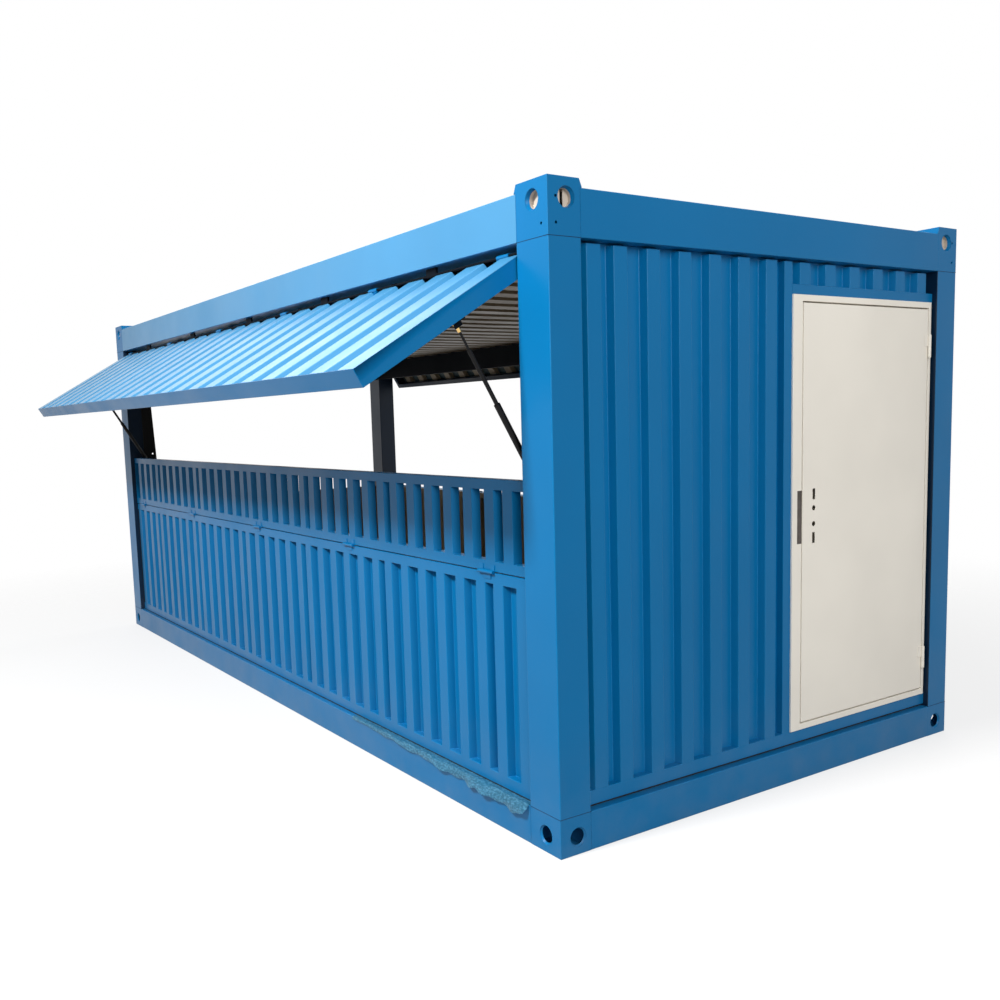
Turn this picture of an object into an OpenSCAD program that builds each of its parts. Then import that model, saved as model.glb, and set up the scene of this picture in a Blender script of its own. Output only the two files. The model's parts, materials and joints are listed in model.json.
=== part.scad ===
// Folding container house: a steel-framed sales cabin one module long.
// Both long sides open over a ribbed wall with a slotted flap that folds out and down.
// The front has a ribbed awning on gas struts, the back a short fixed hood.
// Millimetres, Z up, +X the door end, -Y the front, origin at the footprint's centre.

/* [House] */
// Length over the corner blocks
house_length = 6058; // [5600:1:6400]
// Width over the corner blocks
house_width = 2591; // [2580:1:2800]
// Height over the raised corners
house_height = 2591; // [2560:1:2700]

/* [Frame] */
// Post size along the long side
post_length = 195; // [180:1:215]
// Post size along the short side
post_width = 155; // [145:1:175]
// Wall of the posts
post_wall = 5; // [3:0.5:8]
// Height of the base frame
base_height = 160; // [150:1:180]
// Width of the base rails
base_rail_width = 120; // [110:1:125]
// Height of the top rails
top_rail_height = 180; // [150:1:200]
// Width of the top rails
top_rail_width = 130; // [122:1:140]
// Wall of the rails
rail_wall = 4; // [3:0.5:6]
// Plate of the corner blocks
block_plate = 6; // [4:0.5:10]
// How far a raised corner stands over the top rails
ear_rise = 34; // [20:1:50]
// Overlap of a raised corner on the top of a long rail
ear_side_lap = 12; // [6:1:20]
// Overlap of a raised corner on the top of an end rail
ear_end_lap = 10; // [6:1:20]
// Slope of a raised corner's end
ear_bevel = 14; // [8:1:20]
// Radius of the lifting holes
lift_hole_radius = 40; // [30:1:45]
// Lifting hole from the corner, along the long side
lift_hole_side = 94; // [85:1:100]
// Lifting hole from the corner, along the short side
lift_hole_end = 88; // [82:1:95]
// Lifting hole below the top of a corner
lift_hole_drop = 73; // [68:1:90]
// Lifting hole above the ground
lift_hole_rise = 72; // [66:1:85]
// Radius of the drain holes
drain_radius = 6; // [4:0.5:8]
// Drain hole from the corner
drain_inset = 39; // [30:1:44]
// Drain hole below the top of a corner
drain_drop = 167; // [160:1:175]

/* [Floor] */
// Thickness of the floor deck
deck_thickness = 18; // [12:1:24]
// Gap from the house's outer face to the deck
deck_inset = 76; // [72:1:90]
// Number of floor joists
joist_count = 11; // [6:1:14]
// Width of a floor joist
joist_width = 50; // [40:1:80]

/* [Ribbed sheet] */
// Depth of the wall sheet's ribs
rib_depth = 35; // [20:1:37]
// Flat face of a wall rib
rib_face = 70; // [60:1:78]
// Run of a wall rib's flank
rib_flank = 12; // [8:1:14]
// Distance between ribs inside one side sheet
side_pitch = 163.5; // [155:0.5:185]
// Distance between side ribs across a joint of two sheets
side_joint = 132; // [124:1:150]
// Distance between ribs inside one end sheet
end_pitch = 174; // [165:1:185]
// Distance between end ribs across a joint of two sheets
end_joint = 136; // [124:1:150]
// Ribs in one sheet
sheet_ribs = 6; // [4:1:8]
// Thickness of the wall sheet
sheet_thickness = 1.6; // [1.2:0.1:2.5]

/* [Side walls] */
// Wall faces behind the frame's outer face
wall_recess = 30; // [26:1:32]
// Height of the lower wall's top edge
wall_top = 1081; // [950:1:1150]
// Height of the lower wall's bottom rail
wall_foot = 57; // [40:1:80]
// Height of the lower wall's top rail
wall_cap = 48; // [40:1:70]
// Depth of the lower wall's rails
wall_rail_depth = 40; // [38:1:44]
// Gap between a lower wall and a post
wall_gap = 13; // [6:1:18]

/* [Counter flap] */
// Height of the flap
flap_height = 386; // [330:1:390]
// Gap between the lower wall and the flap
flap_gap = 5; // [5:0.5:8]
// Height of the flap's rails
flap_rail = 44; // [34:1:60]
// Depth of the flap's rails
flap_depth = 50; // [46:1:55]
// Gap between the flap and a post
flap_end_gap = 6; // [5:0.5:12]
// Metal of the flap's ribs
flap_metal = 3; // [2:0.5:4]
// Flap hinge barrel's radius
flap_barrel = 8; // [6:0.5:9]
// Flap hinge pin's radius
flap_pin = 4; // [3:0.5:5]
// Length of one flap hinge
flap_hinge_length = 110; // [80:1:140]
// First flap hinge from the post at the door end
flap_hinge_first = 305; // [200:1:400]
// Last flap hinge from the post at the far end
flap_hinge_last = 213; // [120:1:400]
// Number of flap hinges
flap_hinge_count = 5; // [3:1:5]
// Hinge leaf thickness
hinge_leaf = 3; // [2:0.5:4]
// Hinge leaf reach over the rail
hinge_reach = 30; // [20:1:34]

/* [Awning and hood] */
// Gap between the flap and a closed awning
awning_tip_gap = 13; // [10:1:60]
// Depth of the awning frame
awning_depth = 76; // [70:1:78]
// Width of the awning's frame tubes
awning_tube = 40; // [30:1:50]
// Wall of the awning's frame tubes
awning_wall = 3; // [2:0.5:4]
// Awning's hinge line below the top rails
awning_hinge_drop = 32; // [25:1:37]
// Tilt of the front awning below level
front_tilt = 30.7; // [20:0.1:40]
// Tilt of the back hood below level
hood_tilt = 59; // [56:0.5:66]
// Length of the back hood down its slope
hood_length = 307; // [240:1:340]
// Distance between awning ribs
awning_pitch = 240; // [225:1:260]
// Flat crest of an awning rib
awning_crest = 128; // [110:1:140]
// Run of an awning rib's flank
awning_flank = 16; // [10:1:20]
// Awning hinge rod's radius
awning_rod = 6; // [5:0.5:8]
// Awning hinge knuckle's radius
awning_knuckle = 10; // [9:0.5:12]
// Length of an awning hinge knuckle
knuckle_length = 80; // [60:1:120]
// Number of hinge stations on an awning
awning_hinges = 6; // [4:1:8]
// Gap between the start of the sheet and the hinge line
awning_start = 14; // [13:1:20]

/* [Gas struts] */
// Strut's centre plane from the post
strut_inset = 60; // [58:1:72]
// Upper pivot down the slope from the awning hinge
strut_slope = 375; // [360:1:395]
// Upper pivot below the awning's outer skin
strut_below = 92; // [89:1:98]
// Lower pivot from the house's outer face
strut_foot_inset = 135; // [132:1:145]
// Lower pivot below the awning's hinge line
strut_foot_drop = 915; // [905:1:930]
// Strut rod's radius
strut_rod_radius = 5; // [4:0.5:6]
// Radius of a strut's middle tube
strut_tube_radius = 8.5; // [7:0.5:9]
// Start of the middle tube from the upper pivot
strut_tube_start = 107; // [90:1:120]
// Strut cylinder's radius
strut_cylinder_radius = 13; // [12:0.5:14]
// Length of a strut's cylinder with its eye
cylinder_length = 400; // [370:1:410]
// Middle tube that stays inside the cylinder
tube_overlap = 30; // [20:1:40]
// Radius of a strut's eyes
eye_radius = 9; // [8:0.5:11]
// Width of a strut's upper eye
eye_width = 18; // [16:1:22]
// Width of a strut's lower eye
foot_eye_width = 29; // [29:1:32]
// Radius of the strut pins
strut_pin = 4; // [3:0.5:5]
// Length of the brass end fitting
end_fitting_length = 32; // [24:1:40]
// Radius of the brass end fitting
end_fitting_radius = 7.5; // [6.5:0.5:9]
// Thickness of the strut brackets
bracket_plate = 6; // [4:0.5:8]
// Reach of a strut plate past the post at its foot
plate_reach = 68; // [50:1:80]
// Reach of a strut plate past the post at its top
plate_top_reach = 38; // [20:1:48]
// Height of a strut plate
plate_height = 700; // [500:10:740]
// Spare hole above the lower pivot
spare_hole_rise = 74; // [60:1:90]
// Radius of the spare hole
spare_hole = 7; // [5:0.5:9]

/* [Roof] */
// Depth of the ceiling sheet's ribs
ceiling_rib = 20; // [15:1:24]
// Distance between ceiling ribs
ceiling_pitch = 225; // [200:1:250]
// Flat of a ceiling rib
ceiling_flat = 120; // [100:1:130]
// Run of a ceiling rib's flank
ceiling_flank = 14; // [10:1:18]
// Ceiling's underside below the top rails
ceiling_drop = 82; // [76:1:100]
// Width of a ceiling joist
ceiling_joist_width = 50; // [40:1:60]
// Number of ceiling joists
ceiling_joist_count = 6; // [4:1:8]
// Start of the ceiling joists from the outer face
ceiling_joist_inset = 115; // [112:1:120]
// Depth of the inner headers under the top rails
header_depth = 247; // [200:1:300]
// Thickness of the inner headers
header_thickness = 40; // [30:1:42]
// Roof sheet below the top of the rails
roof_drop = 60; // [45:1:80]

/* [End wall] */
// End wall's face behind the frame's outer face
end_recess = 28; // [24:1:32]
// Depth of the end wall's rails
end_rail_depth = 50; // [45:1:55]
// Gap between the base frame and the end wall
end_foot_gap = 12; // [8:1:16]
// Height of the end wall's bottom rail
end_foot = 58; // [50:1:66]
// Gap between the end wall's sheets and the top rail
end_top_gap = 12; // [8:1:16]
// Height of the angle behind the end wall's top edge
end_angle_height = 40; // [30:1:50]
// Width of the stile beside the door
stile_width = 52; // [44:1:56]
// Height of the rail over the door
door_rail = 44; // [36:1:50]
// Height of the ribbed sheet over the door
transom_height = 95; // [80:1:160]
// Distance between ribs over the door
transom_pitch = 176; // [170:1:185]

/* [Door] */
// Width of the door leaf
leaf_width = 945; // [930:1:948]
// Metal of the door's skins and frame
door_skin = 2; // [1.5:0.5:3]
// Thickness of the door leaf
leaf_thickness = 45; // [40:1:46]
// Door's face behind the frame's outer face
door_recess = 20; // [18:1:24]
// Gap round the door leaf
leaf_gap = 7; // [6:0.5:8]
// Gap between the door frame and the post
frame_side_gap = 15; // [10:1:40]
// Width of the jamb on the lock side
lock_jamb = 63; // [50:1:70]
// Width of the jamb on the hinge side
hinge_jamb = 19; // [16:1:24]
// Height of the sill and of the head over the door
door_edge = 28; // [24:1:30]
// Depth of the door frame
door_frame_depth = 80; // [76:1:90]
// Reach of the stop behind the leaf
stop_reach = 18; // [14:1:24]
// Door hinge barrel's radius
door_barrel = 8; // [7:0.5:9]
// Door hinge pin's radius
door_pin = 4; // [3:0.5:5]
// Length of one door hinge
door_hinge_length = 112; // [90:1:130]
// Lower door hinge's centre above the leaf's foot
low_hinge_rise = 165; // [100:1:260]
// Upper door hinge's centre below the leaf's top
high_hinge_drop = 180; // [100:1:260]
// Width of the strike plate
strike_width = 30; // [24:1:36]
// Length of the strike plate
strike_length = 243; // [200:1:260]
// Centre height of the lock
lock_height = 1230; // [1100:1:1300]
// Lock holes from the edge of the leaf
lock_inset = 79; // [60:1:90]
// Radius of the round lock holes
lock_hole = 12; // [9:0.5:13]
// Distance between the round lock holes
lock_hole_pitch = 73; // [60:1:85]
// Width of a lock slot
lock_slot_width = 19; // [14:1:24]
// Length of a lock slot
lock_slot_length = 50; // [40:1:60]
// Distance between the lock slots
lock_slot_pitch = 202; // [180:1:220]

/* [Hidden] */

blue = [0.16, 0.45, 0.68];
tan = [0.62, 0.56, 0.46];
cream = [0.88, 0.86, 0.80];
black = [0.05, 0.05, 0.06];
brass = [0.75, 0.62, 0.35];
steel = [0.62, 0.63, 0.64];
plywood = [0.55, 0.46, 0.36];

fit = 0.4;
pin_gap = 0.5;
half_length = house_length / 2;
half_width = house_width / 2;
flank_x = half_length - post_length;
flank_y = half_width - post_width;
rail_top = house_height - ear_rise;
rail_bottom = rail_top - top_rail_height;
floor_top = base_height + deck_thickness;

side_run = 2 * (flank_x - wall_gap);
end_run = 2 * flank_y;
rib_width = rib_face + 2 * rib_flank;

flap_run = 2 * (flank_x - flap_end_gap);
flap_bottom = wall_top + flap_gap;
flap_top = flap_bottom + flap_height;
flap_hinge_pitch =
    (2 * flank_x - flap_hinge_first - flap_hinge_last) / (flap_hinge_count - 1);
flap_axis_y = wall_recess - flap_barrel;
flap_axis_z = wall_top + flap_gap / 2;

awning_run = 2 * (flank_x - flap_end_gap);
awning_hinge_height = rail_bottom - awning_hinge_drop;
awning_length = awning_hinge_height - flap_top - awning_tip_gap;
knuckle_inset = awning_tube + knuckle_length;
knuckle_pitch = (awning_run - 2 * knuckle_inset) / (awning_hinges - 1);
sheet_depth = rib_depth + sheet_thickness;
awning_valley = awning_pitch - awning_crest - 2 * awning_flank;
strut_x = flank_x - strut_inset;
strut_foot_height = awning_hinge_height - strut_foot_drop;
strut_top_y = slope_y(front_tilt, strut_slope, strut_below);
strut_top_z = slope_z(front_tilt, strut_slope, strut_below);
strut_length = norm([strut_foot_inset - strut_top_y, strut_top_z - strut_foot_height]);
strut_lean = atan2(strut_foot_inset - strut_top_y, strut_top_z - strut_foot_height);
ceiling_height = rail_bottom - ceiling_drop;
header_height = rail_bottom - header_depth;

frame_end = flank_y - frame_side_gap;
leaf_end = frame_end - hinge_jamb - leaf_gap;
leaf_start = leaf_end - leaf_width;
doorway_start = leaf_start - leaf_gap - lock_jamb;
stile_start = doorway_start - stile_width;
end_field = stile_start + flank_y;
foot_bottom = base_height + end_foot_gap;
foot_top = foot_bottom + end_foot;
leaf_bottom = foot_top + door_edge + leaf_gap;
end_top = rail_bottom - end_top_gap;
transom_bottom = end_top - transom_height;
head_top = transom_bottom - door_rail;
leaf_top = head_top - door_edge - leaf_gap;
door_face = half_length - door_recess;
door_axis_x = door_face + door_barrel;
door_axis_y = leaf_end + leaf_gap / 2;

// How far a bend moves when a folded sheet gets its thickness
function bend_shift(flank, depth, metal) =
    metal * (sqrt(flank * flank + depth * depth) - flank) / depth;

// Rib's distance from the first one; ribs stand closer across a joint of two sheets
function rib_offset(i, phase, pitch, joint) =
    i * pitch - floor((i + phase) / sheet_ribs) * (pitch - joint);

// Start of each rib that fits in a run, centred in it
function rib_starts(run, phase, pitch, joint) =
    let (fitting = [for (i = [0 : floor(run / joint)])
            if (rib_offset(i, phase, pitch, joint) + rib_width <= run)
                rib_offset(i, phase, pitch, joint)])
    [for (offset = fitting)
        offset + (run - fitting[len(fitting) - 1] - rib_width) / 2];

// Start of each evenly spaced fold
function even_starts(count, first, pitch) = [for (i = [0 : count - 1]) first + i * pitch];

function reversed(path) = [for (i = [len(path) - 1 : -1 : 0]) path[i]];

// Four bends of every fold, from the sheet's level to the fold's level and back
function folds(starts, flat, flank, level, reach, shift) =
    [for (a = starts) for (bend = [
        [a + shift, level], [a + flank + shift, reach],
        [a + flank + flat - shift, reach], [a + 2 * flank + flat - shift, level]]) bend];

// Folded sheet: run along X, folds in Y, extruded up Z
module ribbed(run, height, starts, flat, flank, level, reach, metal) {
    turn = (level > reach ? 1 : -1) * bend_shift(flank, abs(level - reach), metal);
    outer = concat([[0, level]], folds(starts, flat, flank, level, reach, 0), [[run, level]]);
    inner = concat([[0, level + metal]],
        folds(starts, flat, flank, level + metal, reach + metal, turn), [[run, level + metal]]);
    linear_extrude(height) polygon(concat(outer, reversed(inner)));
}

// Box between two corners
module block(low, high) {
    translate(low) cube([high[0] - low[0], high[1] - low[1], high[2] - low[2]]);
}

// Square tube along X between two corners
module tube_x(low, high, metal) {
    difference() {
        block(low, high);
        block([low[0] - 1, low[1] + metal, low[2] + metal],
            [high[0] + 1, high[1] - metal, high[2] - metal]);
    }
}

// Square tube along Y between two corners
module tube_y(low, high, metal) {
    difference() {
        block(low, high);
        block([low[0] + metal, low[1] - 1, low[2] + metal],
            [high[0] - metal, high[1] + 1, high[2] - metal]);
    }
}

// Round bar along X, centred on its length
module bar_x(radius, length) {
    rotate([0, 90, 0]) cylinder(r = radius, h = length, center = true);
}

// Same piece at both ends of the house
module both_ends() {
    children();
    mirror([1, 0, 0]) children();
}

// Same piece on both long sides
module both_sides() {
    children();
    mirror([0, 1, 0]) children();
}

// Front side piece, drawn from the front face: Y is the depth into the house
module front_side() {
    translate([0, -half_width, 0]) children();
}

module back_side() {
    mirror([0, 1, 0]) front_side() children();
}

// ---- frame ----

module base_corner_block() {
    difference() {
        block([half_length - post_length, -half_width, 0],
            [half_length, -half_width + post_width, base_height]);
        block([half_length - post_length + block_plate, -half_width + block_plate, block_plate],
            [half_length - block_plate, -half_width + post_width - block_plate,
             base_height - block_plate]);
        translate([half_length - lift_hole_side, -half_width - 1, lift_hole_rise])
            rotate([-90, 0, 0]) cylinder(r = lift_hole_radius, h = block_plate + 2);
        translate([half_length - block_plate - 1, -half_width + lift_hole_end, lift_hole_rise])
            rotate([0, 90, 0]) cylinder(r = lift_hole_radius, h = block_plate + 2);
    }
}

module base_corner_blocks() {
    color(blue) both_ends() both_sides() base_corner_block();
}

// Raised corner: its two inner ends slope down onto the rails
module raised_corner() {
    side_reach = post_length + ear_side_lap;
    end_reach = post_width + ear_end_lap;
    intersection() {
        translate([half_length, -half_width, rail_top]) rotate([-90, 0, 0])
            linear_extrude(end_reach)
                polygon([[0, 0], [-side_reach, 0], [-side_reach + ear_bevel, -ear_rise],
                    [0, -ear_rise]]);
        translate([half_length - side_reach, -half_width, rail_top]) rotate([90, 0, 90])
            linear_extrude(side_reach)
                polygon([[0, 0], [end_reach, 0], [end_reach - ear_bevel, ear_rise],
                    [0, ear_rise]]);
    }
}

module top_corner_block() {
    hole_height = house_height - lift_hole_drop;
    difference() {
        union() {
            block([half_length - post_length, -half_width, rail_bottom],
                [half_length, -half_width + post_width, rail_top]);
            raised_corner();
        }
        block([half_length - post_length + block_plate, -half_width + block_plate,
               rail_bottom + block_plate],
            [half_length - block_plate, -half_width + post_width - block_plate,
             house_height - block_plate]);
        translate([half_length - lift_hole_side, -half_width - 1, hole_height])
            rotate([-90, 0, 0]) cylinder(r = lift_hole_radius, h = block_plate + 2);
        translate([half_length - block_plate - 1, -half_width + lift_hole_end, hole_height])
            rotate([0, 90, 0]) cylinder(r = lift_hole_radius, h = block_plate + 2);
        translate([half_length - drain_inset, -half_width - 1, house_height - drain_drop])
            rotate([-90, 0, 0]) cylinder(r = drain_radius, h = block_plate + 2);
        for (drop = [lift_hole_drop, drain_drop])
            translate([half_length - block_plate - 1, -half_width + drain_inset,
                       house_height - drop])
                rotate([0, 90, 0]) cylinder(r = drain_radius, h = block_plate + 2);
    }
}

module top_corner_blocks() {
    color(blue) both_ends() both_sides() top_corner_block();
}

module base_side_rails() {
    color(blue) both_sides()
        tube_x([-flank_x, -half_width, 0],
            [flank_x, -half_width + base_rail_width, base_height], rail_wall);
}

module base_end_rails() {
    color(blue) both_ends()
        tube_y([half_length - base_rail_width, -flank_y, 0],
            [half_length, flank_y, base_height], rail_wall);
}

module top_side_rails() {
    color(blue) both_sides()
        tube_x([-flank_x, -half_width, rail_bottom],
            [flank_x, -half_width + top_rail_width, rail_top], rail_wall);
}

module top_end_rails() {
    color(blue) both_ends()
        tube_y([half_length - top_rail_width, -flank_y, rail_bottom],
            [half_length, flank_y, rail_top], rail_wall);
}

module corner_posts() {
    color(blue) both_ends() both_sides()
        difference() {
            block([flank_x, -half_width, base_height], [half_length, -flank_y, rail_bottom]);
            block([flank_x + post_wall, -half_width + post_wall, base_height - 1],
                [half_length - post_wall, -flank_y - post_wall, rail_bottom + 1]);
        }
}

// ---- floor, ceiling and roof ----

module floor_joists() {
    span = 2 * (flank_x - joist_width);
    inner = half_width - base_rail_width;
    color(blue) for (i = [0 : joist_count - 1])
        translate([-span / 2 + i * span / (joist_count - 1), 0, 0])
            tube_y([-joist_width / 2, -inner, 0],
                [joist_width / 2, inner, base_height], rail_wall);
}

module floor_deck() {
    color(plywood) difference() {
        block([-half_length + deck_inset, -half_width + deck_inset, base_height],
            [half_length - base_rail_width, half_width - deck_inset, floor_top]);
        both_ends() both_sides()
            block([flank_x, -half_width, base_height - 1],
                [half_length, -flank_y, floor_top + 1]);
    }
}

module roof_sheet() {
    run = 2 * (half_length - top_rail_width);
    width = 2 * (half_width - top_rail_width);
    count = floor(run / ceiling_pitch);
    first = (run - (count - 1) * ceiling_pitch - ceiling_flat - 2 * ceiling_flank) / 2;
    color(blue) difference() {
        translate([-run / 2, width / 2, rail_top - roof_drop]) rotate([90, 0, 0])
            ribbed(run, width, even_starts(count, first, ceiling_pitch), ceiling_flat,
                ceiling_flank, 0, ceiling_rib, sheet_thickness);
        both_ends() both_sides()
            block([flank_x, -half_width, rail_bottom], [half_length, -flank_y, rail_top]);
    }
}

module ceiling_sheet() {
    left = -half_length + post_width;
    right = half_length - base_rail_width;
    count = floor((right - left) / ceiling_pitch);
    first = (right - left - (count - 1) * ceiling_pitch - ceiling_flat - 2 * ceiling_flank) / 2;
    color(tan) translate([left, flank_y, ceiling_height]) rotate([90, 0, 0])
        ribbed(right - left, 2 * flank_y, even_starts(count, first, ceiling_pitch), ceiling_flat,
            ceiling_flank, ceiling_rib, 0, sheet_thickness);
}

module ceiling_joists() {
    bottom = ceiling_height + ceiling_rib + sheet_thickness;
    span = 2 * (flank_x - joist_width);
    color(blue) for (i = [0 : ceiling_joist_count - 1])
        translate([-span / 2 + i * span / (ceiling_joist_count - 1), 0, 0])
            tube_y([-ceiling_joist_width / 2, -half_width + ceiling_joist_inset, bottom],
                [ceiling_joist_width / 2, flank_y, rail_bottom], rail_wall);
}

module back_header() {
    color(blue) tube_x([-flank_x, flank_y, header_height],
        [flank_x, flank_y + header_thickness, rail_bottom], rail_wall);
}

module left_header() {
    inner = -half_length + post_width;
    color(blue) tube_y([inner - header_thickness, -flank_y, header_height],
        [inner, flank_y, rail_bottom], rail_wall);
}

// ---- lower walls ----

// Ribbed wall between two rails, drawn along X with its face at Y = 0
module lower_wall(run, phase) {
    translate([-run / 2, 0, 0]) {
        tube_x([0, 0, base_height], [run, wall_rail_depth, base_height + wall_foot], rail_wall);
        tube_x([0, 0, wall_top - wall_cap], [run, wall_rail_depth, wall_top], rail_wall);
        translate([0, 0, base_height + wall_foot - 1])
            ribbed(run, wall_top - wall_cap - wall_foot - base_height + 2,
                rib_starts(run, phase, side_pitch, side_joint), rib_face, rib_flank,
                rib_depth, 0, sheet_thickness);
    }
}

module front_lower_wall() {
    color(blue) front_side() translate([0, wall_recess, 0]) lower_wall(side_run, 2);
}

module back_lower_wall() {
    color(blue) back_side() translate([0, wall_recess, 0]) lower_wall(side_run, 2);
}

module left_lower_wall() {
    color(blue) translate([-half_length + wall_recess, 0, 0]) rotate([0, 0, -90])
        lower_wall(end_run - 2 * wall_gap, 3);
}

// ---- counter flaps ----

function hinge_x(i) = flank_x - flap_hinge_first - i * flap_hinge_pitch;

// One open rib of the flap, a folded hat that leaves the space beside it clear
module flap_rib(height) {
    shift = bend_shift(rib_flank, rib_depth, flap_metal);
    linear_extrude(height) polygon([
        [0, rib_depth], [rib_flank, 0], [rib_flank + rib_face, 0], [rib_width, rib_depth],
        [rib_width - flap_metal, rib_depth], [rib_flank + rib_face - shift, flap_metal],
        [rib_flank + shift, flap_metal], [flap_metal, rib_depth]]);
}

// Flap standing upright, its face at Y = 0
module flap_panel() {
    field = flap_run - side_pitch;
    translate([-flap_run / 2, 0, 0]) {
        tube_x([0, 0, flap_bottom], [flap_run, flap_depth, flap_bottom + flap_rail], rail_wall);
        tube_x([0, 0, flap_top - flap_rail], [flap_run, flap_depth, flap_top], rail_wall);
        for (start = rib_starts(field, 2, side_pitch, side_joint))
            translate([side_pitch / 2 + start, 0, flap_bottom + flap_rail - 1])
                flap_rib(flap_height - 2 * flap_rail + 2);
        for (x = [0, flap_run - rail_wall])
            block([x, 0, flap_bottom], [x + rail_wall, flap_depth, flap_top]);
    }
}

// Half of the hinge that is fixed to the flap: two knuckles and a leaf
module flap_hinge_halves() {
    knuckle = flap_hinge_length / 4;
    for (i = [0 : flap_hinge_count - 1])
        translate([hinge_x(i), flap_axis_y - wall_recess, flap_axis_z]) {
            for (side = [-1, 1])
                translate([side * (flap_hinge_length - knuckle) / 2, 0, 0])
                    difference() {
                        union() {
                            bar_x(flap_barrel, knuckle);
                            block([-knuckle / 2, flap_barrel - hinge_leaf, 0],
                                [knuckle / 2, flap_barrel, hinge_reach]);
                        }
                        bar_x(flap_pin + fit, knuckle + 2);
                    }
        }
}

module flap_in_place() {
    translate([0, wall_recess, 0]) {
        flap_panel();
        flap_hinge_halves();
    }
}

module front_flap() {
    color(blue) front_side() flap_in_place();
}

module back_flap() {
    color(blue) back_side()
        translate([0, flap_axis_y, flap_axis_z]) rotate([180, 0, 0])
            translate([0, -flap_axis_y, -flap_axis_z]) flap_in_place();
}

// Fixed half of the flap hinges: middle knuckle, pin and a leaf on the wall's top rail
module fixed_flap_hinges() {
    knuckle = flap_hinge_length / 2 - 2 * fit;
    for (i = [0 : flap_hinge_count - 1])
        translate([hinge_x(i), flap_axis_y, flap_axis_z]) {
            bar_x(flap_barrel, knuckle);
            bar_x(flap_pin, flap_hinge_length);
            block([-knuckle / 2, flap_barrel - hinge_leaf, -hinge_reach],
                [knuckle / 2, flap_barrel, 0]);
        }
}

module flap_hinges() {
    color(steel) both_sides() front_side() fixed_flap_hinges();
}

// ---- awnings ----

// Point on a tilted awning, from the outer face and the ground: down the slope, deep under it
function slope_y(tilt, down, deep) = wall_recess - down * cos(tilt) + deep * sin(tilt);
function slope_z(tilt, down, deep) = awning_hinge_height - down * sin(tilt) - deep * cos(tilt);

// Awning piece, drawn hanging closed from its hinge line, then tilted open
module awning_at(tilt) {
    translate([0, wall_recess, awning_hinge_height]) rotate([tilt - 90, 0, 0]) children();
}

// Ribbed sheet on a slope, its ribs running down
module slope_sheet(tilt, length) {
    count = floor((awning_run - awning_crest) / awning_pitch);
    first = (awning_run - (count - 1) * awning_pitch - awning_valley - 2 * awning_flank) / 2;
    awning_at(tilt) translate([-awning_run / 2, 0, -length + awning_wall])
        ribbed(awning_run, length - awning_start - awning_wall,
            even_starts(count, first, awning_pitch), awning_valley, awning_flank, 0,
            rib_depth, sheet_thickness);
}

// Frame under a sheet: two side tubes, a top tube, a tip tube and the tip plate
module slope_frame(tilt, length) {
    half = awning_run / 2;
    awning_at(tilt) {
        both_ends() difference() {
            block([half - awning_tube, sheet_thickness, -length],
                [half, awning_depth, -awning_start]);
            block([half - awning_tube + awning_wall, sheet_thickness + awning_wall, -length - 1],
                [half - awning_wall, awning_depth - awning_wall, -awning_start + 1]);
        }
        for (top = [-awning_start, -length + awning_tube])
            tube_x([-half + awning_tube - 1, sheet_depth, top - awning_tube],
                [half - awning_tube + 1, awning_depth, top], awning_wall);
        block([-half, 0, -length], [half, awning_depth, -length + awning_wall]);
    }
}

// Knuckles on the hinge rod, each on a web over the top tube
module awning_knuckles(tilt) {
    web = awning_knuckle - 1.5 * awning_wall;
    awning_at(tilt) for (i = [0 : awning_hinges - 1])
        translate([-awning_run / 2 + knuckle_inset + i * knuckle_pitch, 0, 0])
            difference() {
                union() {
                    bar_x(awning_knuckle, knuckle_length);
                    block([-knuckle_length / 2, web, -awning_start],
                        [knuckle_length / 2, web + awning_wall, 0]);
                    block([-knuckle_length / 2, web, -awning_start],
                        [knuckle_length / 2, awning_depth - 2 * awning_wall,
                         -awning_start + awning_wall]);
                }
                bar_x(awning_rod + fit, knuckle_length + 2);
            }
}

// Flange that carries the hood under the top rail
module hood_hanger(tilt) {
    start = slope_y(tilt, awning_start, sheet_depth) + awning_wall;
    half = awning_run / 2 - 2 * awning_tube;
    block([-half, start, slope_z(tilt, awning_start, sheet_depth) - 3 * awning_wall],
        [half, start + awning_wall, rail_bottom - fit]);
}

// Plates under the side tubes with the struts' upper pins
module strut_pin_plates(tilt) {
    outer = strut_x + eye_width / 2 + pin_gap;
    reach = strut_below + eye_radius + strut_pin;
    awning_at(tilt) both_ends() {
        block([outer, awning_depth, -strut_slope - 2 * eye_radius],
            [outer + bracket_plate, reach, -strut_slope + 2 * eye_radius]);
        block([outer, awning_depth, -strut_slope - 2 * eye_radius],
            [awning_run / 2, awning_depth + awning_wall, -strut_slope + 2 * eye_radius]);
    }
}

// Hinge rod between the posts, with lugs up to the top rail
module awning_hinge() {
    translate([0, wall_recess, awning_hinge_height]) {
        bar_x(awning_rod, 2 * flank_x);
        for (i = [0 : awning_hinges - 2])
            translate([-awning_run / 2 + knuckle_inset + (i + 0.5) * knuckle_pitch, 0, 0])
                block([-knuckle_length / 2, -awning_rod, -awning_rod],
                    [knuckle_length / 2, awning_rod, rail_bottom - awning_hinge_height]);
    }
}

module awning_sheet() {
    color(blue) front_side() slope_sheet(front_tilt, awning_length);
}

module awning_frame() {
    color(blue) front_side() {
        slope_frame(front_tilt, awning_length);
        awning_knuckles(front_tilt);
    }
}

module awning_brackets() {
    color(blue) front_side() strut_pin_plates(front_tilt);
}

module awning_hinge_rod() {
    color(blue) front_side() awning_hinge();
}

module back_hood_sheet() {
    color(blue) back_side() slope_sheet(hood_tilt, hood_length);
}

module back_hood_frame() {
    color(blue) back_side() {
        slope_frame(hood_tilt, hood_length);
        hood_hanger(hood_tilt);
    }
}

// ---- gas struts ----

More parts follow.
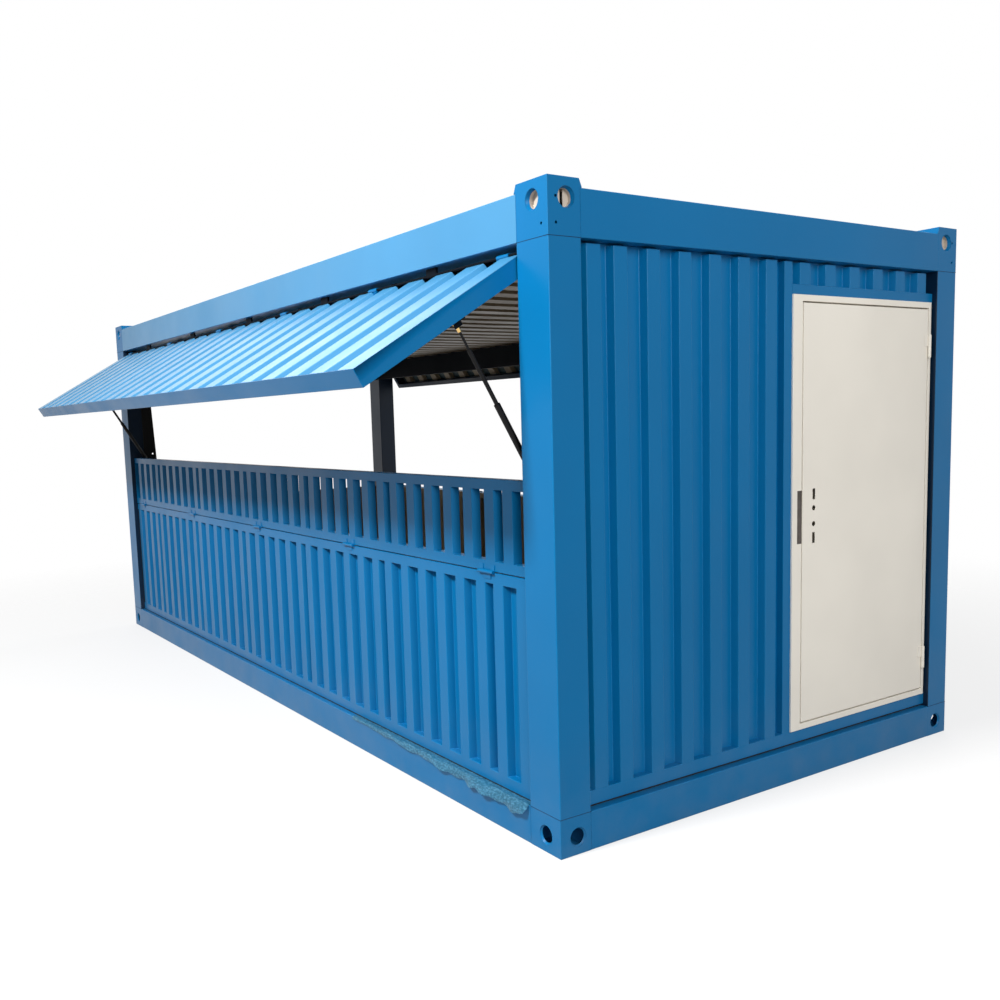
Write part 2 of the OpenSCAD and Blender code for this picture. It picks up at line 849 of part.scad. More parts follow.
// Strut piece, drawn hanging from its upper pivot, at both ends of the awning
module strut_at() {
    both_ends() translate([strut_x, strut_top_y, strut_top_z])
        rotate([strut_lean, 0, 0]) children();
}

module strut_rods() {
    tube_end = strut_length - cylinder_length + tube_overlap;
    color(black) front_side() strut_at() {
        translate([0, 0, -strut_tube_start - 1])
            cylinder(r = strut_rod_radius, h = strut_tube_start + 1 - end_fitting_length);
        translate([0, 0, -tube_end])
            cylinder(r = strut_tube_radius, h = tube_end - strut_tube_start);
    }
}

module strut_ends() {
    color(brass) front_side() strut_at() difference() {
        union() {
            bar_x(eye_radius, eye_width);
            translate([0, 0, -end_fitting_length])
                cylinder(r = end_fitting_radius, h = end_fitting_length);
        }
        bar_x(strut_pin + fit, 4 * end_fitting_radius);
    }
}

module strut_cylinders() {
    color(black) front_side() strut_at() translate([0, 0, -strut_length]) {
        difference() {
            union() {
                bar_x(eye_radius, foot_eye_width);
                cylinder(r = strut_cylinder_radius, h = cylinder_length);
            }
            translate([0, 0, 2 * eye_radius])
                cylinder(r = strut_tube_radius + fit, h = cylinder_length);
            bar_x(strut_pin + fit, 2 * foot_eye_width);
        }
    }
}

// Long plates on the posts with the struts' lower stub pins and a spare hole
module strut_foot_brackets() {
    stub = strut_inset + foot_eye_width / 2 + strut_pin;
    start = strut_foot_inset - 2 * eye_radius;
    foot = -2 * eye_radius;
    color(black) front_side() both_ends() translate([flank_x, 0, strut_foot_height])
        difference() {
            union() {
                translate([-bracket_plate, 0, 0]) rotate([90, 0, 90])
                    linear_extrude(bracket_plate)
                        polygon([[start, foot], [post_width + plate_reach, foot],
                            [post_width + plate_top_reach, foot + plate_height],
                            [start, foot + plate_height]]);
                translate([-stub / 2, strut_foot_inset, 0]) bar_x(strut_pin, stub);
            }
            translate([0, post_width + plate_reach / 2, spare_hole_rise])
                bar_x(spare_hole, 4 * bracket_plate);
        }
}

// ---- door end ----

// Box in the door end: depth behind the outer face, then across, then height
module end_block(depth, across, height) {
    block([half_length - depth[1], across[0], height[0]],
        [half_length - depth[0], across[1], height[1]]);
}

// Rail across the door end
module end_tube(across, height) {
    tube_y([half_length - end_recess - end_rail_depth, across[0], height[0]],
        [half_length - end_recess, across[1], height[1]], rail_wall);
}

module end_wall_sheet() {
    color(blue) translate([half_length - end_recess, -flank_y, foot_top]) rotate([0, 0, 90])
        ribbed(end_field, end_top - foot_top,
            rib_starts(end_field, sheet_ribs - 1, end_pitch, end_joint), rib_face, rib_flank,
            rib_depth, 0, sheet_thickness);
}

module door_transom() {
    run = flank_y - doorway_start;
    count = floor((run - rib_width) / transom_pitch) + 1;
    first = (run - (count - 1) * transom_pitch - rib_width) / 2;
    color(blue) translate([half_length - end_recess, doorway_start, transom_bottom])
        rotate([0, 0, 90])
            ribbed(run, end_top - transom_bottom, even_starts(count, first, transom_pitch),
                rib_face, rib_flank, rib_depth, 0, sheet_thickness);
}

module end_wall_foot() {
    color(blue) end_tube([-flank_y, flank_y], [foot_bottom, foot_top]);
}

// Upright tube in the door end
module end_upright(depth, across, height, metal) {
    difference() {
        end_block(depth, across, height);
        end_block([depth[0] + metal, depth[1] - metal], [across[0] + metal, across[1] - metal],
            [height[0] - 1, height[1] + 1]);
    }
}

module end_wall_stiles() {
    back = end_recess + end_rail_depth;
    color(blue) {
        end_upright([end_recess, back], [stile_start, doorway_start], [foot_top, end_top],
            rail_wall);
        end_upright([end_recess + 2 * rail_wall, back], [frame_end, flank_y],
            [foot_top, head_top], rail_wall);
    }
}

module door_top_rail() {
    color(blue) end_tube([doorway_start, flank_y], [head_top, transom_bottom]);
}

// Angle that ties the top of the sheets to the top rail
module end_wall_angle() {
    back = end_recess + rib_depth + sheet_thickness;
    color(blue) {
        end_block([back, back + rail_wall], [-flank_y, stile_start],
            [rail_bottom - end_angle_height, rail_bottom]);
        end_block([end_recess + end_rail_depth, end_recess + end_rail_depth + rail_wall],
            [stile_start, doorway_start], [rail_bottom - end_angle_height, rail_bottom]);
        end_block([back, back + rail_wall], [doorway_start, flank_y],
            [rail_bottom - end_angle_height, rail_bottom]);
        end_block([back, end_recess + end_rail_depth + end_angle_height], [-flank_y, flank_y],
            [rail_bottom - rail_wall, rail_bottom]);
    }
}

// Depth of the whole door frame, and of the stop behind the leaf
function frame_depth() = [door_recess, door_recess + door_frame_depth];
function stop_depth() =
    [door_recess + leaf_thickness + leaf_gap - 1, door_recess + door_frame_depth];

module door_jambs() {
    lock_edge = doorway_start + lock_jamb;
    hinge_edge = frame_end - hinge_jamb;
    lap = door_skin / 2;
    color(cream) {
        end_upright(frame_depth(), [doorway_start, lock_edge], [foot_top, head_top],
            door_skin);
        end_block(stop_depth(), [lock_edge - lap, lock_edge + stop_reach], [foot_top, head_top]);
        end_upright(frame_depth(), [hinge_edge, frame_end], [foot_top, head_top],
            door_skin);
        end_block(stop_depth(), [hinge_edge - stop_reach, hinge_edge + lap],
            [foot_top, head_top]);
    }
}

module door_head() {
    across = [doorway_start + lock_jamb, frame_end - hinge_jamb];
    stop = [across[0] + stop_reach, across[1] - stop_reach];
    color(cream) {
        end_block([door_recess, stop_depth()[0]], across, [head_top - door_edge, head_top]);
        end_block(stop_depth(), stop, [head_top - door_edge - stop_reach, head_top]);
    }
}

module door_sill() {
    across = [doorway_start + lock_jamb, frame_end - hinge_jamb];
    stop = [across[0] + stop_reach, across[1] - stop_reach];
    color(cream) {
        end_block([door_recess, stop_depth()[0]], across, [foot_top, foot_top + door_edge]);
        end_block(stop_depth(), stop, [foot_top, foot_top + door_edge + stop_reach]);
    }
}

module strike_plate() {
    edge = doorway_start + lock_jamb;
    color(steel)
        end_block([door_recess - hinge_leaf / 2, door_recess], [edge - strike_width, edge],
            [lock_height - strike_length / 2, lock_height + strike_length / 2]);
}

function door_hinge_heights() = [leaf_bottom + low_hinge_rise, leaf_top - high_hinge_drop];

// Fixed half of the door hinges: lower knuckle, pin and a leaf on the jamb
module door_hinges() {
    half = door_hinge_length / 2;
    color(cream) for (height = door_hinge_heights())
        translate([door_axis_x, door_axis_y, height]) {
            translate([0, 0, -half]) cylinder(r = door_barrel, h = half - fit);
            translate([0, 0, -half]) cylinder(r = door_pin, h = 2 * half);
            block([-door_barrel, 0, -half],
                [-door_barrel + hinge_leaf, leaf_gap / 2 + hinge_jamb, -fit]);
        }
}

// Moving half of the door hinges
module door_hinge_halves() {
    half = door_hinge_length / 2;
    for (height = door_hinge_heights())
        translate([door_axis_x, door_axis_y, height])
            difference() {
                union() {
                    cylinder(r = door_barrel, h = half);
                    block([-door_barrel, -leaf_gap / 2 - hinge_reach, 0],
                        [-door_barrel + hinge_leaf, 0, half]);
                }
                translate([0, 0, -1]) cylinder(r = door_pin + fit, h = half + 2);
            }
}

// Hollow leaf with open lock holes, where the handle is missing
module door_leaf() {
    lock_y = leaf_start + lock_inset;
    back = door_recess + leaf_thickness;
    color(cream) {
        difference() {
            end_block([door_recess, back], [leaf_start, leaf_end], [leaf_bottom, leaf_top]);
            end_block([door_recess + door_skin, back - door_skin],
                [leaf_start + door_skin, leaf_end - door_skin],
                [leaf_bottom + door_skin, leaf_top - door_skin]);
            for (side = [-1, 1]) {
                translate([door_face - 2 * door_skin, lock_y,
                           lock_height + side * lock_hole_pitch / 2])
                    rotate([0, 90, 0]) cylinder(r = lock_hole, h = 4 * door_skin);
                translate([door_face, lock_y, lock_height + side * lock_slot_pitch / 2])
                    block([-2 * door_skin, -lock_slot_width / 2, -lock_slot_length / 2],
                        [2 * door_skin, lock_slot_width / 2, lock_slot_length / 2]);
            }
        }
        door_hinge_halves();
    }
}

base_corner_blocks();
base_side_rails();
base_end_rails();
floor_joists();
floor_deck();
corner_posts();
top_corner_blocks();
top_side_rails();
top_end_rails();
roof_sheet();
ceiling_sheet();
ceiling_joists();
back_header();
left_header();
front_lower_wall();
back_lower_wall();
left_lower_wall();
front_flap();
back_flap();
flap_hinges();
awning_sheet();
awning_frame();
awning_brackets();
awning_hinge_rod();
back_hood_sheet();
back_hood_frame();
strut_rods();
strut_ends();
strut_cylinders();
strut_foot_brackets();
end_wall_sheet();
end_wall_stiles();
end_wall_foot();
end_wall_angle();
door_top_rail();
door_transom();
door_jambs();
door_head();
door_sill();
door_hinges();
strike_plate();
door_leaf();
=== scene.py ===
"""Folding container house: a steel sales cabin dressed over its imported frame.

The cabin is one module long. The front opens under a ribbed awning on gas struts,
the back under a short fixed hood, each with a slotted counter flap below. Each
sub-assembly is a class that holds its sizes, builds its meshes and dresses them;
each finish is a small frozen class that makes one node material.
"""

import json
import logging
import math
from dataclasses import dataclass, field
from enum import Enum
from typing import Iterable, Optional, Sequence

import bmesh
import bpy
from mathutils import Matrix, Vector

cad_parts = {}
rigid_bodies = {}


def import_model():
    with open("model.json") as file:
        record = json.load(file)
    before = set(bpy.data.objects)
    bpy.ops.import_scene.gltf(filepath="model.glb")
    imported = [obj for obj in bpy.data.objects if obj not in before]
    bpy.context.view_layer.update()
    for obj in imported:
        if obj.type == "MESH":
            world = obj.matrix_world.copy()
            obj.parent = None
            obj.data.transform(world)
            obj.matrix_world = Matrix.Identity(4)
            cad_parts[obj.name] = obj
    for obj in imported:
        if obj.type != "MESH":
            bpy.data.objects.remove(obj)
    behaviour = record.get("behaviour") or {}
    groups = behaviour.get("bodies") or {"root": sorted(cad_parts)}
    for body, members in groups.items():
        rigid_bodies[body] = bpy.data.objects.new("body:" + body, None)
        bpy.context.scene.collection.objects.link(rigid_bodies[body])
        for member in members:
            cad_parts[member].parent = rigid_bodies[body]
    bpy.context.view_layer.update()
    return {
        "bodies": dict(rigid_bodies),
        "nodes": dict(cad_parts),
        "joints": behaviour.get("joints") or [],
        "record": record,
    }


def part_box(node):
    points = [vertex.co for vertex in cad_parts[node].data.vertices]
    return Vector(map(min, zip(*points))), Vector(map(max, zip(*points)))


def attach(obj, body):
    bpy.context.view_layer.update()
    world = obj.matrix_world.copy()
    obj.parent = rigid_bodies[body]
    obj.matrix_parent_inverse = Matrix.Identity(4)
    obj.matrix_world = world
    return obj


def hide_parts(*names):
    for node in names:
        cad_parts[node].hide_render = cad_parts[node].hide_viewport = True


LOG = logging.getLogger("container_house")
SHADING_ANGLE = math.radians(38)
TURNED_AWAY = -0.05
FACES_ROOM = 0.7
SENSOR_WIDTH = 36.0
POST_LENGTH = 0.195
POST_WIDTH = 0.155
Colour = tuple[float, float, float]


def from_srgb(red: int, green: int, blue: int) -> Colour:
    """Turn a display colour of 0 to 255 into linear light.

    Args:
        red: Red level.
        green: Green level.
        blue: Blue level.

    Returns:
        The three linear values.
    """

    def linear(level: int) -> float:
        """Linear value of one level."""
        part = level / 255.0
        return part / 12.92 if part <= 0.04045 else ((part + 0.055) / 1.055) ** 2.4

    return (linear(red), linear(green), linear(blue))


class Slot(Enum):
    """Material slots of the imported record."""

    BLUE = "blue_paint"
    TAN = "tan_back_coat"
    CREAM = "cream_paint"
    BLACK = "black_paint"
    BRASS = "brass"
    STEEL = "bare_steel"
    PLYWOOD = "plywood"


class Graph:
    """Short hand for one material's node tree."""

    def __init__(self, name: str) -> None:
        """Start an empty tree with a Principled shader.

        Args:
            name: Name of the material.
        """
        self.material = bpy.data.materials.new(name)
        self.material.use_nodes = True
        self.tree = self.material.node_tree
        self.tree.nodes.clear()
        self.shader = self.add("ShaderNodeBsdfPrincipled")
        self.output = self.add("ShaderNodeOutputMaterial")
        self.link(self.shader.outputs[0], self.output.inputs["Surface"])
        self.place = self.add("ShaderNodeTexCoord").outputs["Object"]

    def add(self, kind: str, **settings: object) -> bpy.types.Node:
        """Add a node and set its properties.

        Args:
            kind: Type of the node.
            **settings: Properties of the node.

        Returns:
            The new node.
        """
        node = self.tree.nodes.new(kind)
        for key, value in settings.items():
            setattr(node, key, value)
        return node

    def link(self, source: bpy.types.NodeSocket, target: bpy.types.NodeSocket) -> None:
        """Join two sockets."""
        self.tree.links.new(source, target)

    def feed(self, target: bpy.types.NodeSocket, value: object) -> None:
        """Link a socket, or set a plain value on it.

        Args:
            target: Socket that takes the value.
            value: Another node's socket, a number or a colour.
        """
        if isinstance(value, bpy.types.NodeSocket):
            self.link(value, target)
        elif isinstance(value, tuple) and len(value) == 3 and target.type == "RGBA":
            target.default_value = (*value, 1.0)
        else:
            target.default_value = value

    def math(self, operation: str, *values: object, clamp: bool = False) -> bpy.types.NodeSocket:
        """Result of a maths node.

        Args:
            operation: Name of the operation.
            *values: Sockets or numbers.
            clamp: True to keep the result between 0 and 1.

        Returns:
            The output socket.
        """
        node = self.add("ShaderNodeMath", operation=operation, use_clamp=clamp)
        for socket, value in zip(node.inputs, values):
            self.feed(socket, value)
        return node.outputs[0]

    def noise(self, scale: float, detail: float = 2.0,
              stretch: Sequence[float] = (1.0, 1.0, 1.0)) -> bpy.types.NodeSocket:
        """Noise over the piece, in metres.

        Args:
            scale: Lumps in a metre.
            detail: Octaves.
            stretch: Factor along each axis.

        Returns:
            The noise value, about 0.5 in the middle.
        """
        mapping = self.add("ShaderNodeMapping")
        self.link(self.place, mapping.inputs["Vector"])
        mapping.inputs["Scale"].default_value = stretch
        node = self.add("ShaderNodeTexNoise")
        self.link(mapping.outputs[0], node.inputs["Vector"])
        node.inputs["Scale"].default_value = scale
        node.inputs["Detail"].default_value = detail
        return node.outputs["Fac"]

    def band(self, value: bpy.types.NodeSocket, low: float, high: float, to_low: float = 0.0,
             to_high: float = 1.0) -> bpy.types.NodeSocket:
        """Remap a value from one range to another, clamped.

        Args:
            value: Socket to remap.
            low: Value that gives to_low.
            high: Value that gives to_high.
            to_low: Result at low.
            to_high: Result at high.

        Returns:
            The remapped value.
        """
        node = self.add("ShaderNodeMapRange", clamp=True)
        for socket, number in zip(node.inputs, (value, low, high, to_low, to_high)):
            self.feed(socket, number)
        return node.outputs[0]

    def blend(self, factor: object, first: object, second: object) -> bpy.types.NodeSocket:
        """Mix two colours.

        Args:
            factor: Share of the second one.
            first: Colour or socket.
            second: Colour or socket.

        Returns:
            The mixed colour.
        """
        node = self.add("ShaderNodeMix", data_type="RGBA")
        self.feed(node.inputs[0], factor)
        self.feed(node.inputs[6], first)
        self.feed(node.inputs[7], second)
        return node.outputs[2]

    def mark(self, name: str) -> bpy.types.NodeSocket:
        """Value that a mesh carries on its faces, 0 where it has none."""
        return self.add("ShaderNodeAttribute", attribute_name=name).outputs["Fac"]

    def bump(self, height: bpy.types.NodeSocket, distance: float, strength: float,
             under: Optional[bpy.types.NodeSocket] = None) -> bpy.types.NodeSocket:
        """Bump a surface.

        Args:
            height: Height pattern.
            distance: Depth of the pattern in metres.
            strength: Share of the depth that shows.
            under: Normal that this bump is added to.

        Returns:
            The bumped normal.
        """
        node = self.add("ShaderNodeBump")
        node.inputs["Strength"].default_value = strength
        node.inputs["Distance"].default_value = distance
        self.link(height, node.inputs["Height"])
        if under is not None:
            self.link(under, node.inputs["Normal"])
        return node.outputs[0]

    def height_above_ground(self) -> bpy.types.NodeSocket:
        """Height of the shaded point.

        Returns:
            The height in the piece's own frame, in metres.
        """
        split = self.add("ShaderNodeSeparateXYZ")
        self.link(self.place, split.inputs[0])
        return split.outputs["Z"]


@dataclass(frozen=True)
class Enamel:
    """Sprayed enamel on folded steel, dusty near the ground, with a painted highlight on the folds
    and, where given, painted shade in the recesses.
    """

    name: str
    slot: Slot
    colour: Colour
    fold_colour: Colour
    roughness: float = 0.36
    fold_share: float = 0.3
    dust: Colour = (0.30, 0.29, 0.27)
    dust_share: float = 0.10
    waviness: float = 0.5
    recess_shade_colour: Optional[Colour] = None
    specular: float = 0.5
    deep_share: float = 0.90
    dust_height: float = 0.45
    wave_depth: float = 0.012
    peel_depth: float = 0.0004

    def material(self) -> bpy.types.Material:
        """Make the node material.

        Returns:
            The finished material.
        """
        graph = Graph(self.name)
        cloud = graph.band(graph.noise(1.3, 3.0), 0.3, 0.7)
        deep = tuple(self.deep_share * part for part in self.colour)
        tone = graph.blend(cloud, deep, self.colour)
        # Painted shade: marked recessed faces are darkened towards the recess shade colour.
        if self.recess_shade_colour is not None:
            tone = graph.blend(graph.mark("recess"), tone, self.recess_shade_colour)
        # Painted highlight: the marked fold strips are lightened towards the highlight colour.
        speck = graph.band(graph.noise(5.0, 3.0), 0.35, 0.65, 0.35, 1.0)
        fold = graph.math("MULTIPLY", graph.mark("fold"), speck)
        tone = graph.blend(graph.math("MULTIPLY", fold, self.fold_share), tone, self.fold_colour)
        low = graph.band(graph.height_above_ground(), 0.0, self.dust_height, 1.0, 0.0)
        film = graph.math("MULTIPLY", low, graph.band(graph.noise(7.0, 4.0), 0.35, 0.75))
        tone = graph.blend(graph.math("MULTIPLY", film, self.dust_share), tone, self.dust)
        graph.link(tone, graph.shader.inputs["Base Color"])
        rough = graph.band(graph.noise(3.0, 3.0), 0.3, 0.7, self.roughness - 0.05,
                           self.roughness + 0.07)
        graph.link(rough, graph.shader.inputs["Roughness"])
        graph.shader.inputs["Specular IOR Level"].default_value = self.specular
        wave = graph.bump(graph.noise(2.4, 1.0), self.wave_depth, 0.35 * self.waviness)
        peel = graph.bump(graph.noise(420.0, 1.0), self.peel_depth, 0.12, wave)
        graph.link(peel, graph.shader.inputs["Normal"])
        return graph.material


@dataclass(frozen=True)
class BareMetal:
    """Metal without paint: brushed, zinc-plated or passivated."""

    name: str
    slot: Slot
    colour: Colour
    stain: Colour
    roughness: float = 0.32
    stain_share: float = 0.6

    def material(self) -> bpy.types.Material:
        """Make the node material.

        Returns:
            The finished material.
        """
        graph = Graph(self.name)
        spangle = graph.band(graph.noise(55.0, 3.0), 0.35, 0.65)
        tone = graph.blend(spangle, self.colour, tuple(0.8 * part for part in self.colour))
        patches = graph.band(graph.noise(18.0, 4.0), 0.52, 0.72, 0.0, self.stain_share)
        tone = graph.blend(patches, tone, self.stain)
        graph.link(tone, graph.shader.inputs["Base Color"])
        graph.shader.inputs["Metallic"].default_value = 1.0
        grain = graph.noise(90.0, 2.0, (1.0, 1.0, 14.0))
        graph.link(graph.band(grain, 0.3, 0.7, self.roughness - 0.08, self.roughness + 0.12),
                   graph.shader.inputs["Roughness"])
        graph.link(graph.bump(grain, 0.0005, 0.15), graph.shader.inputs["Normal"])
        return graph.material


@dataclass(frozen=True)
class GapShade:
    """Near-black finish with a rubber texture, used as painted shade deep in gaps and behind holes.
    """

    name: str
    slot: Slot
    colour: Colour
    roughness: float = 0.7

    def material(self) -> bpy.types.Material:
        """Make the node material.

        Returns:
            The finished material.
        """
        graph = Graph(self.name)
        bloom = graph.band(graph.noise(30.0, 3.0), 0.4, 0.7)
        tone = graph.blend(bloom, self.colour, tuple(1.6 * part + 0.004 for part in self.colour))
        graph.link(tone, graph.shader.inputs["Base Color"])
        graph.shader.inputs["Roughness"].default_value = self.roughness
        graph.link(graph.bump(graph.noise(260.0, 2.0), 0.0005, 0.2), graph.shader.inputs["Normal"])
        return graph.material


@dataclass(frozen=True)
class Plywood:
    """Sealed plywood boards with grain along the room."""

    name: str
    slot: Slot
    colour: Colour
    grain_colour: Colour

    def material(self) -> bpy.types.Material:
        """Make the node material.

        Returns:
            The finished material.
        """
        graph = Graph(self.name)
        grain = graph.noise(9.0, 6.0, (0.35, 6.0, 1.0))
        tone = graph.blend(graph.band(grain, 0.38, 0.66), self.colour, self.grain_colour)
        graph.link(tone, graph.shader.inputs["Base Color"])
        graph.link(graph.band(grain, 0.3, 0.7, 0.45, 0.65), graph.shader.inputs["Roughness"])
        graph.link(graph.bump(grain, 0.001, 0.25), graph.shader.inputs["Normal"])
        return graph.material


@dataclass(frozen=True)
class ClearFilm:
    """Thin protective film that has come loose."""

    name: str
    slot: Slot
    colour: Colour
    roughness: float = 0.4
    specular: float = 0.3
    least_cover: float = 0.72
    most_cover: float = 0.9

    def material(self) -> bpy.types.Material:
        """Make the node material.

        Returns:
            The finished material.
        """
        graph = Graph(self.name)
        crease = graph.noise(70.0, 5.0, (1.0, 2.0, 2.0))
        pale = tuple(1.5 * part + 0.03 for part in self.colour)
        graph.link(graph.blend(graph.band(crease, 0.42, 0.68), self.colour, pale),
                   graph.shader.inputs["Base Color"])
        graph.shader.inputs["Roughness"].default_value = self.roughness
        graph.shader.inputs["Specular IOR Level"].default_value = self.specular
        graph.link(graph.band(crease, 0.35, 0.65, self.least_cover, self.most_cover),
                   graph.shader.inputs["Alpha"])
        graph.link(graph.bump(crease, 0.001, 0.4), graph.shader.inputs["Normal"])
        return graph.material


Finish = Enamel | BareMetal | GapShade | Plywood | ClearFilm


class Paint:
    """All finishes of the cabin, made once and shared."""

    BLUE = Enamel("blue_enamel", Slot.BLUE, from_srgb(3, 110, 166), from_srgb(20, 120, 174),
                  roughness=0.34, specular=0.18)
    # Painted sheen: a lighter, greyer copy of the blue for the sky-lit awning sheets and top side
    # rails.
    SHEEN_BLUE = Enamel("awning_painted_sheen", Slot.BLUE, from_srgb(66, 138, 182),
                         from_srgb(104, 160, 196), roughness=0.34, specular=0.4)
    # Painted shade: a darker copy of the blue for post faces that look into the room and for the
    # hood frame.
    SHADE_NAVY = Enamel("room_side_shade", Slot.BLUE, from_srgb(4, 32, 56), from_srgb(10, 48, 76),
                  roughness=0.4, specular=0.25)
    # Painted shade: a near-black copy of the blue for parts that sit in shadow.
    SHADE_DARK = Enamel("header_painted_shade", Slot.BLUE, from_srgb(3, 10, 18), from_srgb(6, 16, 28),
                       roughness=0.7, specular=0.1)
    # TAN and HOOD_TAN darken their recessed faces as painted shade.
    TAN = Enamel("tan_back_coat", Slot.TAN, from_srgb(140, 124, 98), from_srgb(150, 134, 108),
                 roughness=0.42, recess_shade_colour=from_srgb(34, 46, 48))
    HOOD_TAN = Enamel("hood_back_coat", Slot.TAN, from_srgb(196, 180, 150),
                      from_srgb(200, 186, 158), roughness=0.45,
                      recess_shade_colour=from_srgb(72, 100, 106))
    LINER = Enamel("end_wall_liner", Slot.TAN, from_srgb(238, 218, 186), from_srgb(244, 226, 198),
                   roughness=0.5)
    CREAM = Enamel("cream_enamel", Slot.CREAM, from_srgb(249, 243, 231), from_srgb(252, 247, 237),
                   roughness=0.34, dust_share=0.06, waviness=0.8)
    GASKET = Enamel("door_gasket", Slot.CREAM, from_srgb(150, 142, 124), from_srgb(160, 152, 134),
                    roughness=0.6)
    BLACK = Enamel("black_enamel", Slot.BLACK, from_srgb(8, 7, 7), from_srgb(18, 17, 17),
                   roughness=0.5, specular=0.2)
    SEAM = Enamel("seam_sealant", Slot.BLUE, from_srgb(4, 30, 62), from_srgb(8, 40, 76),
                  roughness=0.6, specular=0.2)
    ZINC = Enamel("galvanised_lining", Slot.STEEL, from_srgb(206, 194, 180),
                  from_srgb(220, 212, 200), roughness=0.4)
    BRASS = BareMetal("passivated_brass", Slot.BRASS, from_srgb(236, 196, 126),
                      from_srgb(180, 140, 84))
    STEEL = BareMetal("zinc_plated_steel", Slot.STEEL, from_srgb(196, 192, 186),
                      from_srgb(140, 134, 126), roughness=0.42)
    STRIKE = BareMetal("worn_strike_steel", Slot.STEEL, from_srgb(96, 90, 86),
                       from_srgb(60, 54, 50), roughness=0.45)
    GAP_SHADE = GapShade("gap_painted_shade", Slot.BLACK, from_srgb(8, 8, 9))
    PLYWOOD = Plywood("sealed_plywood", Slot.PLYWOOD, from_srgb(178, 154, 122),
                      from_srgb(146, 118, 88))
    FILM = ClearFilm("loose_film", Slot.BLUE, from_srgb(44, 104, 132))

    _made: dict[str, bpy.types.Material] = {}

    @classmethod
    def of(cls, finish: Finish) -> bpy.types.Material:
        """Material of a finish, made when it is first asked for.

        Args:
            finish: Finish that is wanted.

        Returns:
            The one material of that finish.
        """
        if finish.name not in cls._made:
            cls._made[finish.name] = finish.material()
        return cls._made[finish.name]


def body_of_node(record: dict, node: str) -> str:
    """Name of the body that a node rides on.

    Args:
        record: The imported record.
        node: Name of the node.

    Returns:
        The body's name.
    """
    for body, nodes in record["behaviour"]["bodies"].items():
        if node in nodes:
            return body
    raise KeyError(node)


@dataclass
class FoldedSteel:
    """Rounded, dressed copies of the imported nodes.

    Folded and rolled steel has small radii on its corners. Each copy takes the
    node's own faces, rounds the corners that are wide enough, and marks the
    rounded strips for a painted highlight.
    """

    frame: dict
    sharp: float = math.radians(24)
    flat: float = math.radians(0.6)
    weld: float = 1e-5
    segments: int = 3
    room: float = 2.4

    def clean_mesh(self, node: str) -> bmesh.types.BMesh:
        """Faces of a node, joined up and without flat seams.

        Args:
            node: Name of the node.

        Returns:
            A new bmesh in the row frame.
        """
        source = self.frame["nodes"][node]
        mesh = bmesh.new()
        mesh.from_mesh(source.data)
        mesh.transform(source.matrix_world)
        bmesh.ops.remove_doubles(mesh, verts=mesh.verts[:], dist=self.weld)
        bmesh.ops.dissolve_limit(mesh, angle_limit=self.flat, verts=mesh.verts[:],
                                 edges=mesh.edges[:], use_dissolve_boundaries=False)
        return mesh

    def wide(self, face: bmesh.types.BMFace, radius: float) -> bool:
        """True where a face is wide enough to lose a strip to the rounding."""
        return 2 * face.calc_area() / max(face.calc_perimeter(), 1e-9) > self.room * radius

    def corners(self, mesh: bmesh.types.BMesh, radius: float) -> list[bmesh.types.BMEdge]:
        """Edges that get rounded.

        Args:
            mesh: Mesh to look at.
            radius: Radius of the rounding.

        Returns:
            Sharp edges between two wide faces.
        """
        return [edge for edge in mesh.edges
                if len(edge.link_faces) == 2 and edge.calc_face_angle(0.0) > self.sharp
                and edge.calc_length() > self.room * radius
                and all(self.wide(face, radius) for face in edge.link_faces)]

    def copy(self, node: str, finish: Finish, radius: float,
             name: Optional[str] = None) -> bpy.types.Object:
        """Rounded copy of a node that stands in for it.

        Args:
            node: Name of the node.
            finish: Finish of all its faces.
            radius: Radius of its corners in metres.
            name: Name of the piece.

        Returns:
            The new object.
        """
        mesh = self.clean_mesh(node)
        layer = mesh.faces.layers.float.new("fold")
        edges = self.corners(mesh, radius)
        if edges:
            made = bmesh.ops.bevel(mesh, geom=edges, offset=radius, offset_type="OFFSET",
                                   segments=self.segments, profile=0.5, affect="EDGES",
                                   clamp_overlap=False, miter_outer="SHARP",
                                   miter_inner="SHARP")
            # The rounded strips are marked for the painted highlight.
            for face in made["faces"]:
                face[layer] = 1.0
        piece = finish_mesh(mesh, name or f"{node}_steel")
        dress(piece, finish, body_of_node(self.frame["record"], node))
        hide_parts(node)
        LOG.info("%s: %d faces for %s", piece.name, len(piece.data.polygons), node)
        return piece


def finish_mesh(mesh: bmesh.types.BMesh, name: str, smooth: bool = True) -> bpy.types.Object:
    """Turn a bmesh into an object with even shading.

    Args:
        mesh: Mesh in the row frame; it is freed.
        name: Name of the object.
        smooth: True to shade the roundings smoothly.

    Returns:
        The object, linked to the scene.
    """
    data = bpy.data.meshes.new(name)
    mesh.to_mesh(data)
    mesh.free()
    if smooth:
        data.shade_smooth()
        data.set_sharp_from_angle(angle=SHADING_ANGLE)
    piece = bpy.data.objects.new(name, data)
    bpy.context.scene.collection.objects.link(piece)
    if smooth:
        weighted = piece.modifiers.new("flat_faces", "WEIGHTED_NORMAL")
        weighted.keep_sharp = True
        weighted.weight = 80
    return piece


def dress(piece: bpy.types.Object, finish: Finish, body: str) -> None:
    """Give a piece its finish and its body.

    Args:
        piece: Object to dress.
        finish: Finish of all its faces.
        body: Body that it rides on.
    """
    piece.data.materials.clear()
    piece.data.materials.append(Paint.of(finish))
    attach(piece, body)


